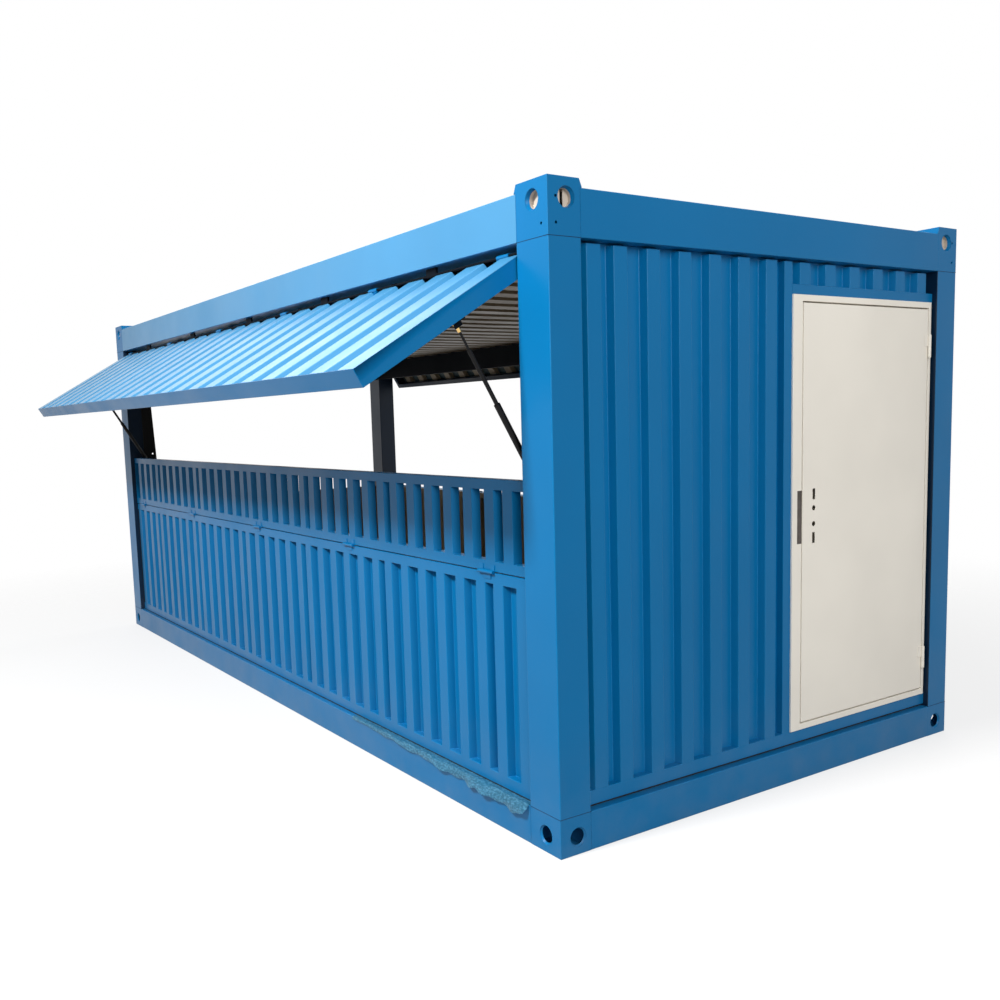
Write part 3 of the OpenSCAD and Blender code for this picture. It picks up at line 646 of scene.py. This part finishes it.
def second_side(piece: bpy.types.Object, finish: Finish, outward: Vector,
                recess: Optional[tuple[Vector, float]] = None) -> None:
    """Give the back of a sheet another finish.

    Args:
        piece: Sheet whose faces are sorted by the way they face.
        finish: Finish of the faces turned away from outward.
        outward: Direction of the front.
        recess: Point and depth; back faces deeper than that along outward are marked for painted
            shade.
    """
    data = piece.data
    data.materials.append(Paint.of(finish))
    marks = data.attributes.new("recess", "FLOAT", "FACE") if recess else None
    for face in data.polygons:
        if face.normal.dot(outward) < TURNED_AWAY:
            face.material_index = 1
            if marks is not None:
                depth = (Vector(face.center) - recess[0]).dot(outward)
                marks.data[face.index].value = 1.0 if depth > recess[1] else 0.0


def room_side(piece: bpy.types.Object, finish: Finish) -> None:
    """Give the faces that look into the room a darker finish as painted shade.

    Args:
        piece: Posts that stand around the room.
        finish: Finish of their inner faces.
    """
    piece.data.materials.append(Paint.of(finish))
    for face in piece.data.polygons:
        inward = [-math.copysign(1.0, face.center[i]) * face.normal[i] for i in (0, 1)]
        if max(inward) > FACES_ROOM:
            face.material_index = 1


@dataclass
class Cabin:
    """Frame, walls and roof of the house body."""

    steel: FoldedSteel
    frame_radius: float = 0.004
    sheet_radius: float = 0.003
    block_radius: float = 0.002
    plate_radius: float = 0.0015

    def copies(self, nodes: Sequence[str], finish: Finish, radius: float) -> None:
        """Copy several nodes with one finish.

        Args:
            nodes: Names of the nodes.
            finish: Finish of all of them.
            radius: Radius of their corners.
        """
        for node in nodes:
            self.steel.copy(node, finish, radius)

    def build(self) -> None:
        """Build and dress the house body's pieces."""
        self.skeleton()
        self.walls()
        self.roof()
        self.copies(("end_wall_stiles", "end_wall_foot", "end_wall_angle", "door_top_rail"),
                    Paint.BLUE, self.block_radius)
        # The hinge rod takes the near-black blue as painted shade under the top rail.
        self.steel.copy("awning_hinge_rod", Paint.SHADE_DARK, self.plate_radius)
        # The strut foot brackets' black is partly their own paint and partly painted shade beside
        # the post.
        self.steel.copy("strut_foot_brackets", Paint.BLACK, self.plate_radius)
        self.steel.copy("flap_hinges", Paint.BLUE, self.plate_radius)

    def skeleton(self) -> None:
        """Rails, posts, corner blocks, joists and floor."""
        self.copies(("base_side_rails", "base_end_rails", "top_end_rails"), Paint.BLUE,
                    self.frame_radius)
        # The top side rails take the lighter blue as painted sheen.
        self.steel.copy("top_side_rails", Paint.SHEEN_BLUE, self.frame_radius)
        room_side(self.steel.copy("corner_posts", Paint.BLUE, self.frame_radius), Paint.SHADE_NAVY)
        self.copies(("base_corner_blocks", "top_corner_blocks"), Paint.BLUE, self.block_radius)
        # Joists and headers take the near-black blue as painted shade.
        self.copies(("floor_joists", "ceiling_joists", "back_header", "left_header"),
                    Paint.SHADE_DARK, self.plate_radius)
        self.steel.copy("floor_deck", Paint.PLYWOOD, self.plate_radius)

    def walls(self) -> None:
        """Ribbed lower walls and the ribbed sheets of the door end."""
        outward = {"front_lower_wall": Vector((0, -1, 0)), "back_lower_wall": Vector((0, 1, 0)),
                   "left_lower_wall": Vector((-1, 0, 0)), "end_wall_sheet": Vector((1, 0, 0)),
                   "door_transom": Vector((1, 0, 0))}
        for node, way in outward.items():
            sheet = self.steel.copy(node, Paint.BLUE, self.sheet_radius)
            second_side(sheet, Paint.LINER if way.x > 0.5 else Paint.TAN, way)

    def roof(self) -> None:
        """Roof sheet outside and ceiling sheet inside."""
        self.steel.copy("roof_sheet", Paint.BLUE, self.sheet_radius)
        ceiling = self.steel.copy("ceiling_sheet", Paint.TAN, self.sheet_radius)
        low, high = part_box("ceiling_sheet")
        # The ceiling's deeper back faces are marked for painted shade in its valleys.
        second_side(ceiling, Paint.TAN, Vector((0, 0, 1)),
                    (Vector((0, 0, low[2])), 0.5 * (high[2] - low[2])))


@dataclass
class RibbedPanel:
    """A sloping ribbed sheet on its tube frame: the awning or the back hood."""

    steel: FoldedSteel
    name: str
    tilt: float
    way: int
    back_coat: Finish
    frame_finish: Finish
    sheet_radius: float = 0.003
    tube_radius: float = 0.002

    def outward(self) -> Vector:
        """Direction that the panel's ribbed face looks."""
        lean = math.radians(self.tilt)
        return Vector((0, self.way * math.sin(lean), math.cos(lean)))

    def build(self) -> None:
        """Build and dress the sheet and its frame."""
        sheet = self.steel.copy(f"{self.name}_sheet", Paint.SHEEN_BLUE, self.sheet_radius)
        way = self.outward()
        depths = [way.dot(Vector(v.co)) for v in sheet.data.vertices]
        middle = 0.5 * (min(depths) + max(depths))
        # The deeper half of the back faces gets the back coat's painted shade.
        second_side(sheet, self.back_coat, way, (way * middle, 0.0))
        self.steel.copy(f"{self.name}_frame", self.frame_finish, self.tube_radius)


@dataclass
class Struts:
    """Pair of gas struts under the awning, with their upper plates."""

    steel: FoldedSteel
    plate_radius: float = 0.001
    turned_radius: float = 0.0008

    def build(self) -> None:
        """Build and dress the struts."""
        # The awning brackets take the near-black blue as painted shade under the awning.
        self.steel.copy("awning_brackets", Paint.SHADE_DARK, self.plate_radius)
        self.steel.copy("strut_rods", Paint.BLACK, self.turned_radius)
        self.steel.copy("strut_cylinders", Paint.BLACK, self.turned_radius)
        self.steel.copy("strut_ends", Paint.BRASS, self.turned_radius)


def add_bar(mesh: bmesh.types.BMesh, low: Sequence[float], high: Sequence[float]) -> None:
    """Add a square bar between two corners to a mesh.

    Args:
        mesh: Mesh that takes the bar.
        low: Lowest corner.
        high: Highest corner.
    """
    middle = [0.5 * (a + b) for a, b in zip(low, high)]
    size = [b - a for a, b in zip(low, high)]
    turn = Matrix.Translation(middle) @ Matrix.Diagonal((*size, 1.0))
    bmesh.ops.create_cube(mesh, size=1.0, matrix=turn)


def add_turned(mesh: bmesh.types.BMesh, profile: Sequence[tuple[float, float]], centre: Vector,
               axis: Vector, steps: int = 48) -> None:
    """Add a turned ring to a mesh.

    Args:
        mesh: Mesh that takes the ring.
        profile: Closed outline as radius and height along the axis.
        centre: Middle of the ring.
        axis: Direction of its axis.
        steps: Facets around it.
    """
    turn = axis.to_track_quat("Z", "Y").to_matrix()
    rings = []
    for step in range(steps):
        angle = 2 * math.pi * step / steps
        rings.append([mesh.verts.new(centre + turn @ Vector(
            (radius * math.cos(angle), radius * math.sin(angle), height)))
            for radius, height in profile])
    for here, there in zip(rings, rings[1:] + rings[:1]):
        for near in range(len(profile)):
            far = (near + 1) % len(profile)
            mesh.faces.new((here[near], there[near], there[far], here[far]))


def add_half_disc(mesh: bmesh.types.BMesh, radius: float, start: float, centre: Vector,
                  axis: Vector, side: int, thickness: float = 0.003, steps: int = 16) -> None:
    """Add a plate bounded by a chord and the arc beyond it.

    Args:
        mesh: Mesh that takes the plate.
        radius: Radius of the arc.
        start: Distance of the chord from the centre.
        centre: Middle of the arc.
        axis: Direction that the plate faces.
        side: 1 or -1, the side of the centre that it stands on.
        thickness: Thickness of the plate.
        steps: Facets along the arc.
    """
    turn = axis.to_track_quat("Z", "Y").to_matrix()
    reach = math.acos(start / radius)
    points = [(side * radius * math.cos(a), radius * math.sin(a))
              for a in (reach * (2.0 * k / steps - 1.0) for k in range(steps + 1))]
    levels = [[mesh.verts.new(centre + turn @ Vector((x, y, height))) for x, y in points]
              for height in (-thickness, 0.0)]
    mesh.faces.new(levels[0])
    mesh.faces.new(list(reversed(levels[1])))
    for near in range(len(points)):
        far = (near + 1) % len(points)
        mesh.faces.new((levels[0][near], levels[0][far], levels[1][far], levels[1][near]))


def new_piece(mesh: bmesh.types.BMesh, name: str, finish: Finish, body: str) -> bpy.types.Object:
    """Finish, dress and report a piece that scene work adds.

    Args:
        mesh: Mesh of the piece.
        name: Name of the piece.
        finish: Finish of all its faces.
        body: Body that it rides on.

    Returns:
        The new object.
    """
    bmesh.ops.recalc_face_normals(mesh, faces=mesh.faces[:])
    piece = finish_mesh(mesh, name)
    dress(piece, finish, body)
    LOG.info("%s: %d faces", name, len(piece.data.polygons))
    return piece


def span(first: float, second: float) -> tuple[float, float]:
    """The lower and the higher of two places along an axis."""
    return min(first, second), max(first, second)


def behind(face: float, way: int, depths: tuple[float, float]) -> tuple[float, float]:
    """Lower and higher of the places at two depths behind a face on the way side."""
    return span(way * (face - depths[0]), way * (face - depths[1]))


def half_of_frame(axis: int) -> float:
    """Half of the frame's size between the posts' outer faces, in metres."""
    return round(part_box("corner_posts")[1][axis], 4)


@dataclass
class CornerFittings:
    """Rims and linings of the lifting holes, and the beads on the post seams."""

    half_length: float = field(default_factory=lambda: half_of_frame(0))
    half_width: float = field(default_factory=lambda: half_of_frame(1))
    side_inset: float = 0.094
    end_inset: float = 0.088
    low_height: float = 0.072
    high_height: float = 2.518
    hole_radius: float = 0.040
    low_dish: float = 0.008
    high_dish: float = 0.016
    dish_width: float = 0.0065
    rim_wall: float = 0.001
    rim_sunk: float = 0.0002
    lining_depth: float = 0.058
    lining_mouth: float = 0.006
    lining_wall: float = 0.004
    plate_depth: float = 0.034
    plate_inset: float = 0.003
    slot_edges: tuple[tuple[int, float], ...] = ((1, 0.010), (-1, 0.004))
    back_depth: float = 0.056
    back_edge: float = -0.030
    seam_heights: tuple[float, float] = (0.160, 2.377)
    seam_half: float = 0.0011
    seam_proud: float = 0.0004
    seam_sunk: float = 0.001

    def holes(self, height: float) -> Iterable[tuple[Vector, Vector]]:
        """Walk round the eight holes at one height.

        Args:
            height: Height of the holes.

        Returns:
            Centre on the outer face and outward axis of each hole.
        """
        for across in (-1, 1):
            for along in (-1, 1):
                yield (Vector((along * (self.half_length - self.side_inset),
                               across * self.half_width, height)), Vector((0, across, 0)))
                yield (Vector((along * self.half_length,
                               across * (self.half_width - self.end_inset), height)),
                       Vector((along, 0, 0)))

    def build(self) -> None:
        """Build the rims, linings and seams."""
        self.rims()
        self.linings()
        self.seams()

    def rims(self) -> None:
        """Dished rims of all the lifting holes."""
        mesh = bmesh.new()
        outer = self.hole_radius + self.rim_wall
        for height, dish in ((self.low_height, self.low_dish), (self.high_height, self.high_dish)):
            profile = ((outer, -self.rim_sunk), (self.hole_radius - self.dish_width, -dish),
                       (outer, -dish))
            for centre, axis in self.holes(height):
                add_turned(mesh, profile, centre, axis)
        new_piece(mesh, "lifting_hole_rims", Paint.BLUE, "house")

    def linings(self) -> None:
        """Sleeves behind the upper holes, with two half plates, and a black back plate behind the
        slot between them as painted shade.
        """
        linings, shade_backs = bmesh.new(), bmesh.new()
        radius = self.hole_radius
        sleeve = ((radius, -self.high_dish), (radius - self.lining_mouth, -self.high_dish),
                  (radius - self.lining_wall, -self.lining_depth), (radius, -self.lining_depth))
        for centre, axis in self.holes(self.high_height):
            add_turned(linings, sleeve, centre, axis)
            for side, edge in self.slot_edges:
                add_half_disc(linings, radius - self.plate_inset, edge,
                              centre - self.plate_depth * axis, axis, side)
            # Black back plate as painted shade inside the hole.
            add_half_disc(shade_backs, radius - self.lining_wall, self.back_edge,
                          centre - self.back_depth * axis, axis, 1)
        new_piece(linings, "lifting_hole_linings", Paint.ZINC, "house")
        new_piece(shade_backs, "lifting_hole_shade_backs", Paint.GAP_SHADE, "house")

    def seams(self) -> None:
        """Thin beads of sealant where the posts meet the corner blocks."""
        mesh = bmesh.new()
        for across in (-1, 1):
            for along in (-1, 1):
                for height in self.seam_heights:
                    self.seam(mesh, along, across, height)
        new_piece(mesh, "post_seam_beads", Paint.SEAM, "house")

    def seam(self, mesh: bmesh.types.BMesh, along: int, across: int, height: float) -> None:
        """Beads on the four sides of one post.

        Args:
            mesh: Mesh that takes the beads.
            along: 1 for the door end, -1 for the other end.
            across: 1 for the back, -1 for the front.
            height: Height of the joint.
        """
        xs = span(along * self.half_length, along * (self.half_length - POST_LENGTH))
        ys = span(across * self.half_width, across * (self.half_width - POST_WIDTH))
        low, high = height - self.seam_half, height + self.seam_half
        for y, way in zip(ys, (-1, 1)):
            near, far = span(y + way * self.seam_proud, y - way * self.seam_sunk)
            add_bar(mesh, (xs[0], near, low), (xs[1], far, high))
        for x, way in zip(xs, (-1, 1)):
            near, far = span(x + way * self.seam_proud, x - way * self.seam_sunk)
            add_bar(mesh, (near, ys[0], low), (far, ys[1], high))


@dataclass
class WallGapShades:
    """Black strips deep in the gaps around the wall sheets, as painted shade.

    Depths are measured inwards from the frame's outer face, heights from the ground.
    """

    half_length: float = field(default_factory=lambda: half_of_frame(0))
    half_width: float = field(default_factory=lambda: half_of_frame(1))
    foot_depths: tuple[float, float] = (0.040, 0.046)
    foot_heights: tuple[float, float] = (0.1605, 0.1715)
    side_depths: tuple[float, float] = (0.034, 0.040)
    side_heights: tuple[float, float] = (0.161, 1.080)
    side_gap: tuple[float, float] = (0.0128, 0.0002)
    ledge_depths: tuple[float, float] = (0.0297, 0.0285)
    ledge_heights: tuple[float, float] = (0.1603, 0.1655)

    def build(self) -> None:
        """Build the strips under, beside and in front of the walls."""
        mesh = bmesh.new()
        flank_x = self.half_length - POST_LENGTH
        flank_y = self.half_width - POST_WIDTH
        for along in (-1, 1):
            near, far = behind(self.half_length, along, self.foot_depths)
            add_bar(mesh, (near, -flank_y, self.foot_heights[0]),
                    (far, flank_y, self.foot_heights[1]))
            for across in (-1, 1):
                near, far = behind(self.half_width, across, self.side_depths)
                start, end = behind(flank_x, along, self.side_gap)
                add_bar(mesh, (start, near, self.side_heights[0]), (end, far, self.side_heights[1]))
        for across in (-1, 1):
            near, far = behind(self.half_width, across, self.ledge_depths)
            add_bar(mesh, (-flank_x, near, self.ledge_heights[0]),
                    (flank_x, far, self.ledge_heights[1]))
        # The strips are painted shade standing in for the dark void of the gaps.
        new_piece(mesh, "wall_gap_shades", Paint.GAP_SHADE, "house")


@dataclass
class LedgeFilm:
    """Strip of protective film that peels off the front base rail's ledge.

    Each ripple of the free edge has a height, a power of the share along the
    strip that it grows with, an angle in a metre and a starting angle. The free
    part falls at an angle in degrees that sways along the strip and curls down.
    """

    start: float = 1.25
    end: float = 2.826
    wall_face: float = -1.2675
    rail_face: float = -1.2955
    ledge: float = 0.1612
    lift: float = 0.0012
    lift_turn: float = 33.0
    row_turn: float = 4.0
    fall: float = 38.0
    sway: float = 14.0
    sway_turn: float = 17.0
    curl: float = 26.0
    clearance: float = 0.0008
    steps: int = 150
    rows: int = 9
    first_reach: float = 0.012
    growth: float = 0.036
    last_growth: float = 0.012
    rounded_end: float = 0.045
    end_share: float = 0.25
    ripples: tuple[tuple[float, int, float, float], ...] = (
        (0.0035, 0, 21.0, 0.0), (0.0045, 1, 47.0, 1.0), (0.009, 3, 58.0, 0.4))

    def overhang(self, along: float) -> float:
        """Length of film past the rail's edge.

        Args:
            along: Place along the rail in metres.

        Returns:
            The free length in metres.
        """
        share = (along - self.start) / (self.end - self.start)
        swell = self.first_reach + self.growth * share + self.last_growth * share ** 4
        wave = sum(height * share ** power * math.sin(turn * along + first)
                   for height, power, turn, first in self.ripples)
        rounding = min(1.0, max(0.0, (self.end - along) / self.rounded_end)) ** 0.5
        return (swell + wave) * (self.end_share + (1.0 - self.end_share) * rounding)

    def point(self, along: float, row: float) -> Vector:
        """Point of the film.

        Args:
            along: Place along the rail in metres.
            row: 0 at the wall, 1 at the rail's edge, 2 at the free edge.

        Returns:
            The point in the house's frame.
        """
        lift = self.lift * (1.0 + math.sin(self.lift_turn * along + self.row_turn * row))
        if row <= 1.0:
            across = self.wall_face + (self.rail_face - self.wall_face) * row
            return Vector((along, across - self.clearance * row, self.ledge + lift * row))
        free = (row - 1.0) * self.overhang(along)
        fall = math.radians(self.fall + self.sway * math.sin(self.sway_turn * along)
                            + self.curl * (row - 1.0))
        return Vector((along, self.rail_face - self.clearance - free * math.cos(fall),
                       self.ledge + lift - free * math.sin(fall)))

    def build(self) -> None:
        mesh = bmesh.new()
        lines = []
        for step in range(self.steps + 1):
            along = self.start + (self.end - self.start) * step / self.steps
            lines.append([mesh.verts.new(self.point(along, 2.0 * row / (self.rows - 1)))
                          for row in range(self.rows)])
        area = 0.0
        for here, there in zip(lines, lines[1:]):
            for near in range(self.rows - 1):
                face = mesh.faces.new((here[near], here[near + 1], there[near + 1], there[near]))
                area += face.calc_area()
        piece = new_piece(mesh, "ledge_film", Paint.FILM, "house")


@dataclass
class Flap:
    """One slotted counter flap."""

    steel: FoldedSteel
    side: str
    radius: float = 0.002

    def build(self) -> None:
        """Build and dress the flap."""
        self.steel.copy(f"{self.side}_flap", Paint.BLUE, self.radius)


@dataclass
class Door:
    """Hinged end door with its pressed frame."""

    steel: FoldedSteel
    face: float = 3.009
    lock_height: float = 1.230
    lock_pitch: float = 0.073
    lock_inset: float = 0.079
    press_radius: float = 0.0015
    hinge_radius: float = 0.0008
    strike_radius: float = 0.0005
    spindle_sunk: float = 0.012
    spindle_length: float = 0.008
    spindle_radius: float = 0.0058
    spindle_bore: float = 0.0022
    gasket_depths: tuple[float, float] = (0.022, 0.012)
    gasket_gaps: tuple[float, float] = (0.0045, 0.0002)
    gasket_end: float = 0.01

    def build(self) -> None:
        """Build and dress the door's pieces."""
        for node in ("door_jambs", "door_head", "door_sill", "door_leaf"):
            self.steel.copy(node, Paint.CREAM, self.press_radius)
        self.steel.copy("door_hinges", Paint.CREAM, self.hinge_radius)
        self.steel.copy("strike_plate", Paint.STRIKE, self.strike_radius)
        self.spindles()
        self.gasket()

    def spindles(self) -> None:
        """Lock spindles inside the two round holes."""
        low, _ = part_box("door_leaf")
        profile = ((self.spindle_bore, 0.0), (self.spindle_radius, 0.0),
                   (self.spindle_radius, -self.spindle_length),
                   (self.spindle_bore, -self.spindle_length))
        mesh = bmesh.new()
        for side in (-1, 1):
            centre = Vector((self.face - self.spindle_sunk, low[1] + self.lock_inset,
                             self.lock_height + side * self.lock_pitch / 2))
            add_turned(mesh, profile, centre, Vector((1, 0, 0)), 24)
        new_piece(mesh, "lock_spindles", Paint.STEEL, "door")

    def gasket(self) -> None:
        """Soft seal along the leaf's lock edge."""
        low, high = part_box("door_leaf")
        mesh = bmesh.new()
        add_bar(mesh, (self.face - self.gasket_depths[0], low[1] - self.gasket_gaps[0],
                       low[2] + self.gasket_end),
                (self.face - self.gasket_depths[1], low[1] - self.gasket_gaps[1],
                 high[2] - self.gasket_end))
        new_piece(mesh, "door_gasket", Paint.GASKET, "door")


def seen_rays(tree: bpy.types.NodeTree) -> bpy.types.NodeSocket:
    """Tell what the eye sees from what only gives light.

    Args:
        tree: Node tree that takes the nodes.

    Returns:
        1 for rays from the eye, off gloss or through film, and 0 for soft light.
    """
    path = tree.nodes.new("ShaderNodeLightPath")
    seen = path.outputs["Is Camera Ray"]
    for name in ("Is Glossy Ray", "Is Transmission Ray"):
        either = tree.nodes.new("ShaderNodeMath")
        either.operation = "MAXIMUM"
        tree.links.new(seen, either.inputs[0])
        tree.links.new(path.outputs[name], either.inputs[1])
        seen = either.outputs[0]
    return seen


@dataclass(frozen=True)
class Lamp:
    """One soft square lamp: places and side in metres, power in watts."""

    name: str
    place: Vector
    target: Vector
    size: float
    power: float

    def build(self) -> None:
        """Hang the lamp and point it at its target."""
        data = bpy.data.lights.new(self.name, "AREA")
        data.shape = "SQUARE"
        data.size = self.size
        data.energy = self.power
        lamp = bpy.data.objects.new(self.name, data)
        bpy.context.scene.collection.objects.link(lamp)
        lamp.location = self.place
        lamp.rotation_euler = (self.target - self.place).to_track_quat("-Z", "Y").to_euler()


@dataclass
class Studio:
    """Floor, lamps, sky and camera."""

    eye: Vector = field(default_factory=lambda: Vector((5.99193, -3.60564, 1.72394)))
    heading: float = 146.5962
    pitch: float = -6.7534
    roll: float = -1.7569
    focal: float = 1.00459
    centre: tuple[float, float] = (0.47510, 0.53717)
    sky_light: float = 0.30
    floor_size: float = 30.0
    floor_drop: float = 0.001
    floor_lit: float = 0.26
    floor_seen: float = 0.92
    floor_glow: float = 0.72
    fade_start: float = 3.6
    fade_end: float = 7.5

    def build(self) -> None:
        """Set up the whole studio."""
        bpy.context.scene.view_settings.view_transform = "Standard"
        self.sky()
        self.floor()
        self.lamps()
        self.camera()

    def sky(self) -> None:
        """White to the eye and to gloss, plain and soft as a light."""
        world = bpy.data.worlds.new("studio_sky")
        bpy.context.scene.world = world
        world.use_nodes = True
        tree = world.node_tree
        tree.nodes.clear()
        strength = tree.nodes.new("ShaderNodeMapRange")
        tree.links.new(seen_rays(tree), strength.inputs["Value"])
        strength.inputs["To Min"].default_value = self.sky_light
        strength.inputs["To Max"].default_value = 1.0
        background = tree.nodes.new("ShaderNodeBackground")
        background.inputs["Color"].default_value = (1.0, 1.0, 1.0, 1.0)
        tree.links.new(strength.outputs[0], background.inputs["Strength"])
        output = tree.nodes.new("ShaderNodeOutputWorld")
        tree.links.new(background.outputs[0], output.inputs["Surface"])

    def floor(self) -> None:
        """Pale floor that keeps the shadow and fades into the white around it."""
        mesh = bmesh.new()
        bmesh.ops.create_grid(mesh, x_segments=1, y_segments=1, size=self.floor_size)
        floor = finish_mesh(mesh, "studio_floor", smooth=False)
        floor.location.z = -self.floor_drop
        floor.data.materials.append(self.floor_material())

    def floor_material(self) -> bpy.types.Material:
        """Matt paint that glows a little to the eye and turns clear far out.

        Returns:
            The floor's material.
        """
        graph = Graph("studio_floor")
        seen = seen_rays(graph.tree)
        lit, pale = ((level,) * 3 for level in (self.floor_lit, self.floor_seen))
        graph.link(graph.blend(seen, lit, pale), graph.shader.inputs["Base Color"])
        graph.shader.inputs["Roughness"].default_value = 0.9
        graph.shader.inputs["Specular IOR Level"].default_value = 0.0
        glow = graph.add("ShaderNodeEmission")
        glow.inputs["Strength"].default_value = 1.0
        mixer = graph.add("ShaderNodeMixShader")
        graph.link(graph.math("MULTIPLY", seen, self.floor_glow), mixer.inputs[0])
        graph.link(graph.shader.outputs[0], mixer.inputs[1])
        graph.link(glow.outputs[0], mixer.inputs[2])
        radius = graph.add("ShaderNodeVectorMath", operation="LENGTH")
        graph.link(graph.place, radius.inputs[0])
        fade = graph.band(radius.outputs["Value"], self.fade_start, self.fade_end)
        clear = graph.add("ShaderNodeBsdfTransparent")
        edge = graph.add("ShaderNodeMixShader")
        graph.link(graph.math("MULTIPLY", fade, seen), edge.inputs[0])
        graph.link(mixer.outputs[0], edge.inputs[1])
        graph.link(clear.outputs[0], edge.inputs[2])
        graph.link(edge.outputs[0], graph.output.inputs["Surface"])
        return graph.material

    def lamps(self) -> None:
        """Key over the front, sheen along the awning, fills for the other sides."""
        Lamp("front_key", Vector((2.6, -6.2, 5.93)), Vector((1.2, -1.3, 1.2)), 0.9, 640.0).build()
        Lamp("awning_sheen", Vector((-9.1, 0.2, 8.3)), Vector((0, -1.6, 2.1)), 5.0, 170.0).build()
        Lamp("door_end_fill", Vector((9.6, -3.2, 4.6)), Vector((3, 0, 1.2)), 4.0, 410.0).build()
        Lamp("back_fill", Vector((-4.0, 10.0, 4.5)), Vector((0, 0, 1.2)), 6.0, 380.0).build()

    def camera(self) -> None:
        """Camera at eye height off the door-end corner."""
        azimuth, pitch, roll = (math.radians(a) for a in (self.heading, self.pitch, self.roll))
        ahead = Vector((math.cos(pitch) * math.cos(azimuth), math.cos(pitch) * math.sin(azimuth),
                        math.sin(pitch)))
        right = ahead.cross(Vector((0, 0, 1))).normalized()
        up = right.cross(ahead)
        right, up = (right * math.cos(roll) + up * math.sin(roll),
                     up * math.cos(roll) - right * math.sin(roll))
        data = bpy.data.cameras.new("camera")
        data.sensor_width = SENSOR_WIDTH
        data.lens = SENSOR_WIDTH * self.focal
        data.shift_x = 0.5 - self.centre[0]
        data.shift_y = self.centre[1] - 0.5
        data.clip_end = 200.0
        camera = bpy.data.objects.new("camera", data)
        bpy.context.scene.collection.objects.link(camera)
        turn = Matrix((right, up, -ahead)).transposed().to_4x4()
        camera.matrix_world = Matrix.Translation(self.eye) @ turn
        bpy.context.scene.camera = camera


def main() -> None:
    """Build the cabin in order."""
    logging.basicConfig(level=logging.INFO, format="%(message)s")
    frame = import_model()
    Studio().build()
    steel = FoldedSteel(frame)
    Cabin(steel).build()
    RibbedPanel(steel, "awning", 30.7, -1, Paint.TAN, Paint.BLUE).build()
    # The hood's frame takes the dark blue as painted shade under the hood.
    RibbedPanel(steel, "back_hood", 59.0, 1, Paint.HOOD_TAN, Paint.SHADE_NAVY).build()
    Struts(steel).build()
    CornerFittings().build()
    WallGapShades().build()
    LedgeFilm().build()
    Flap(steel, "front").build()
    Flap(steel, "back").build()
    Door(steel).build()


if __name__ == "__main__":
    main()
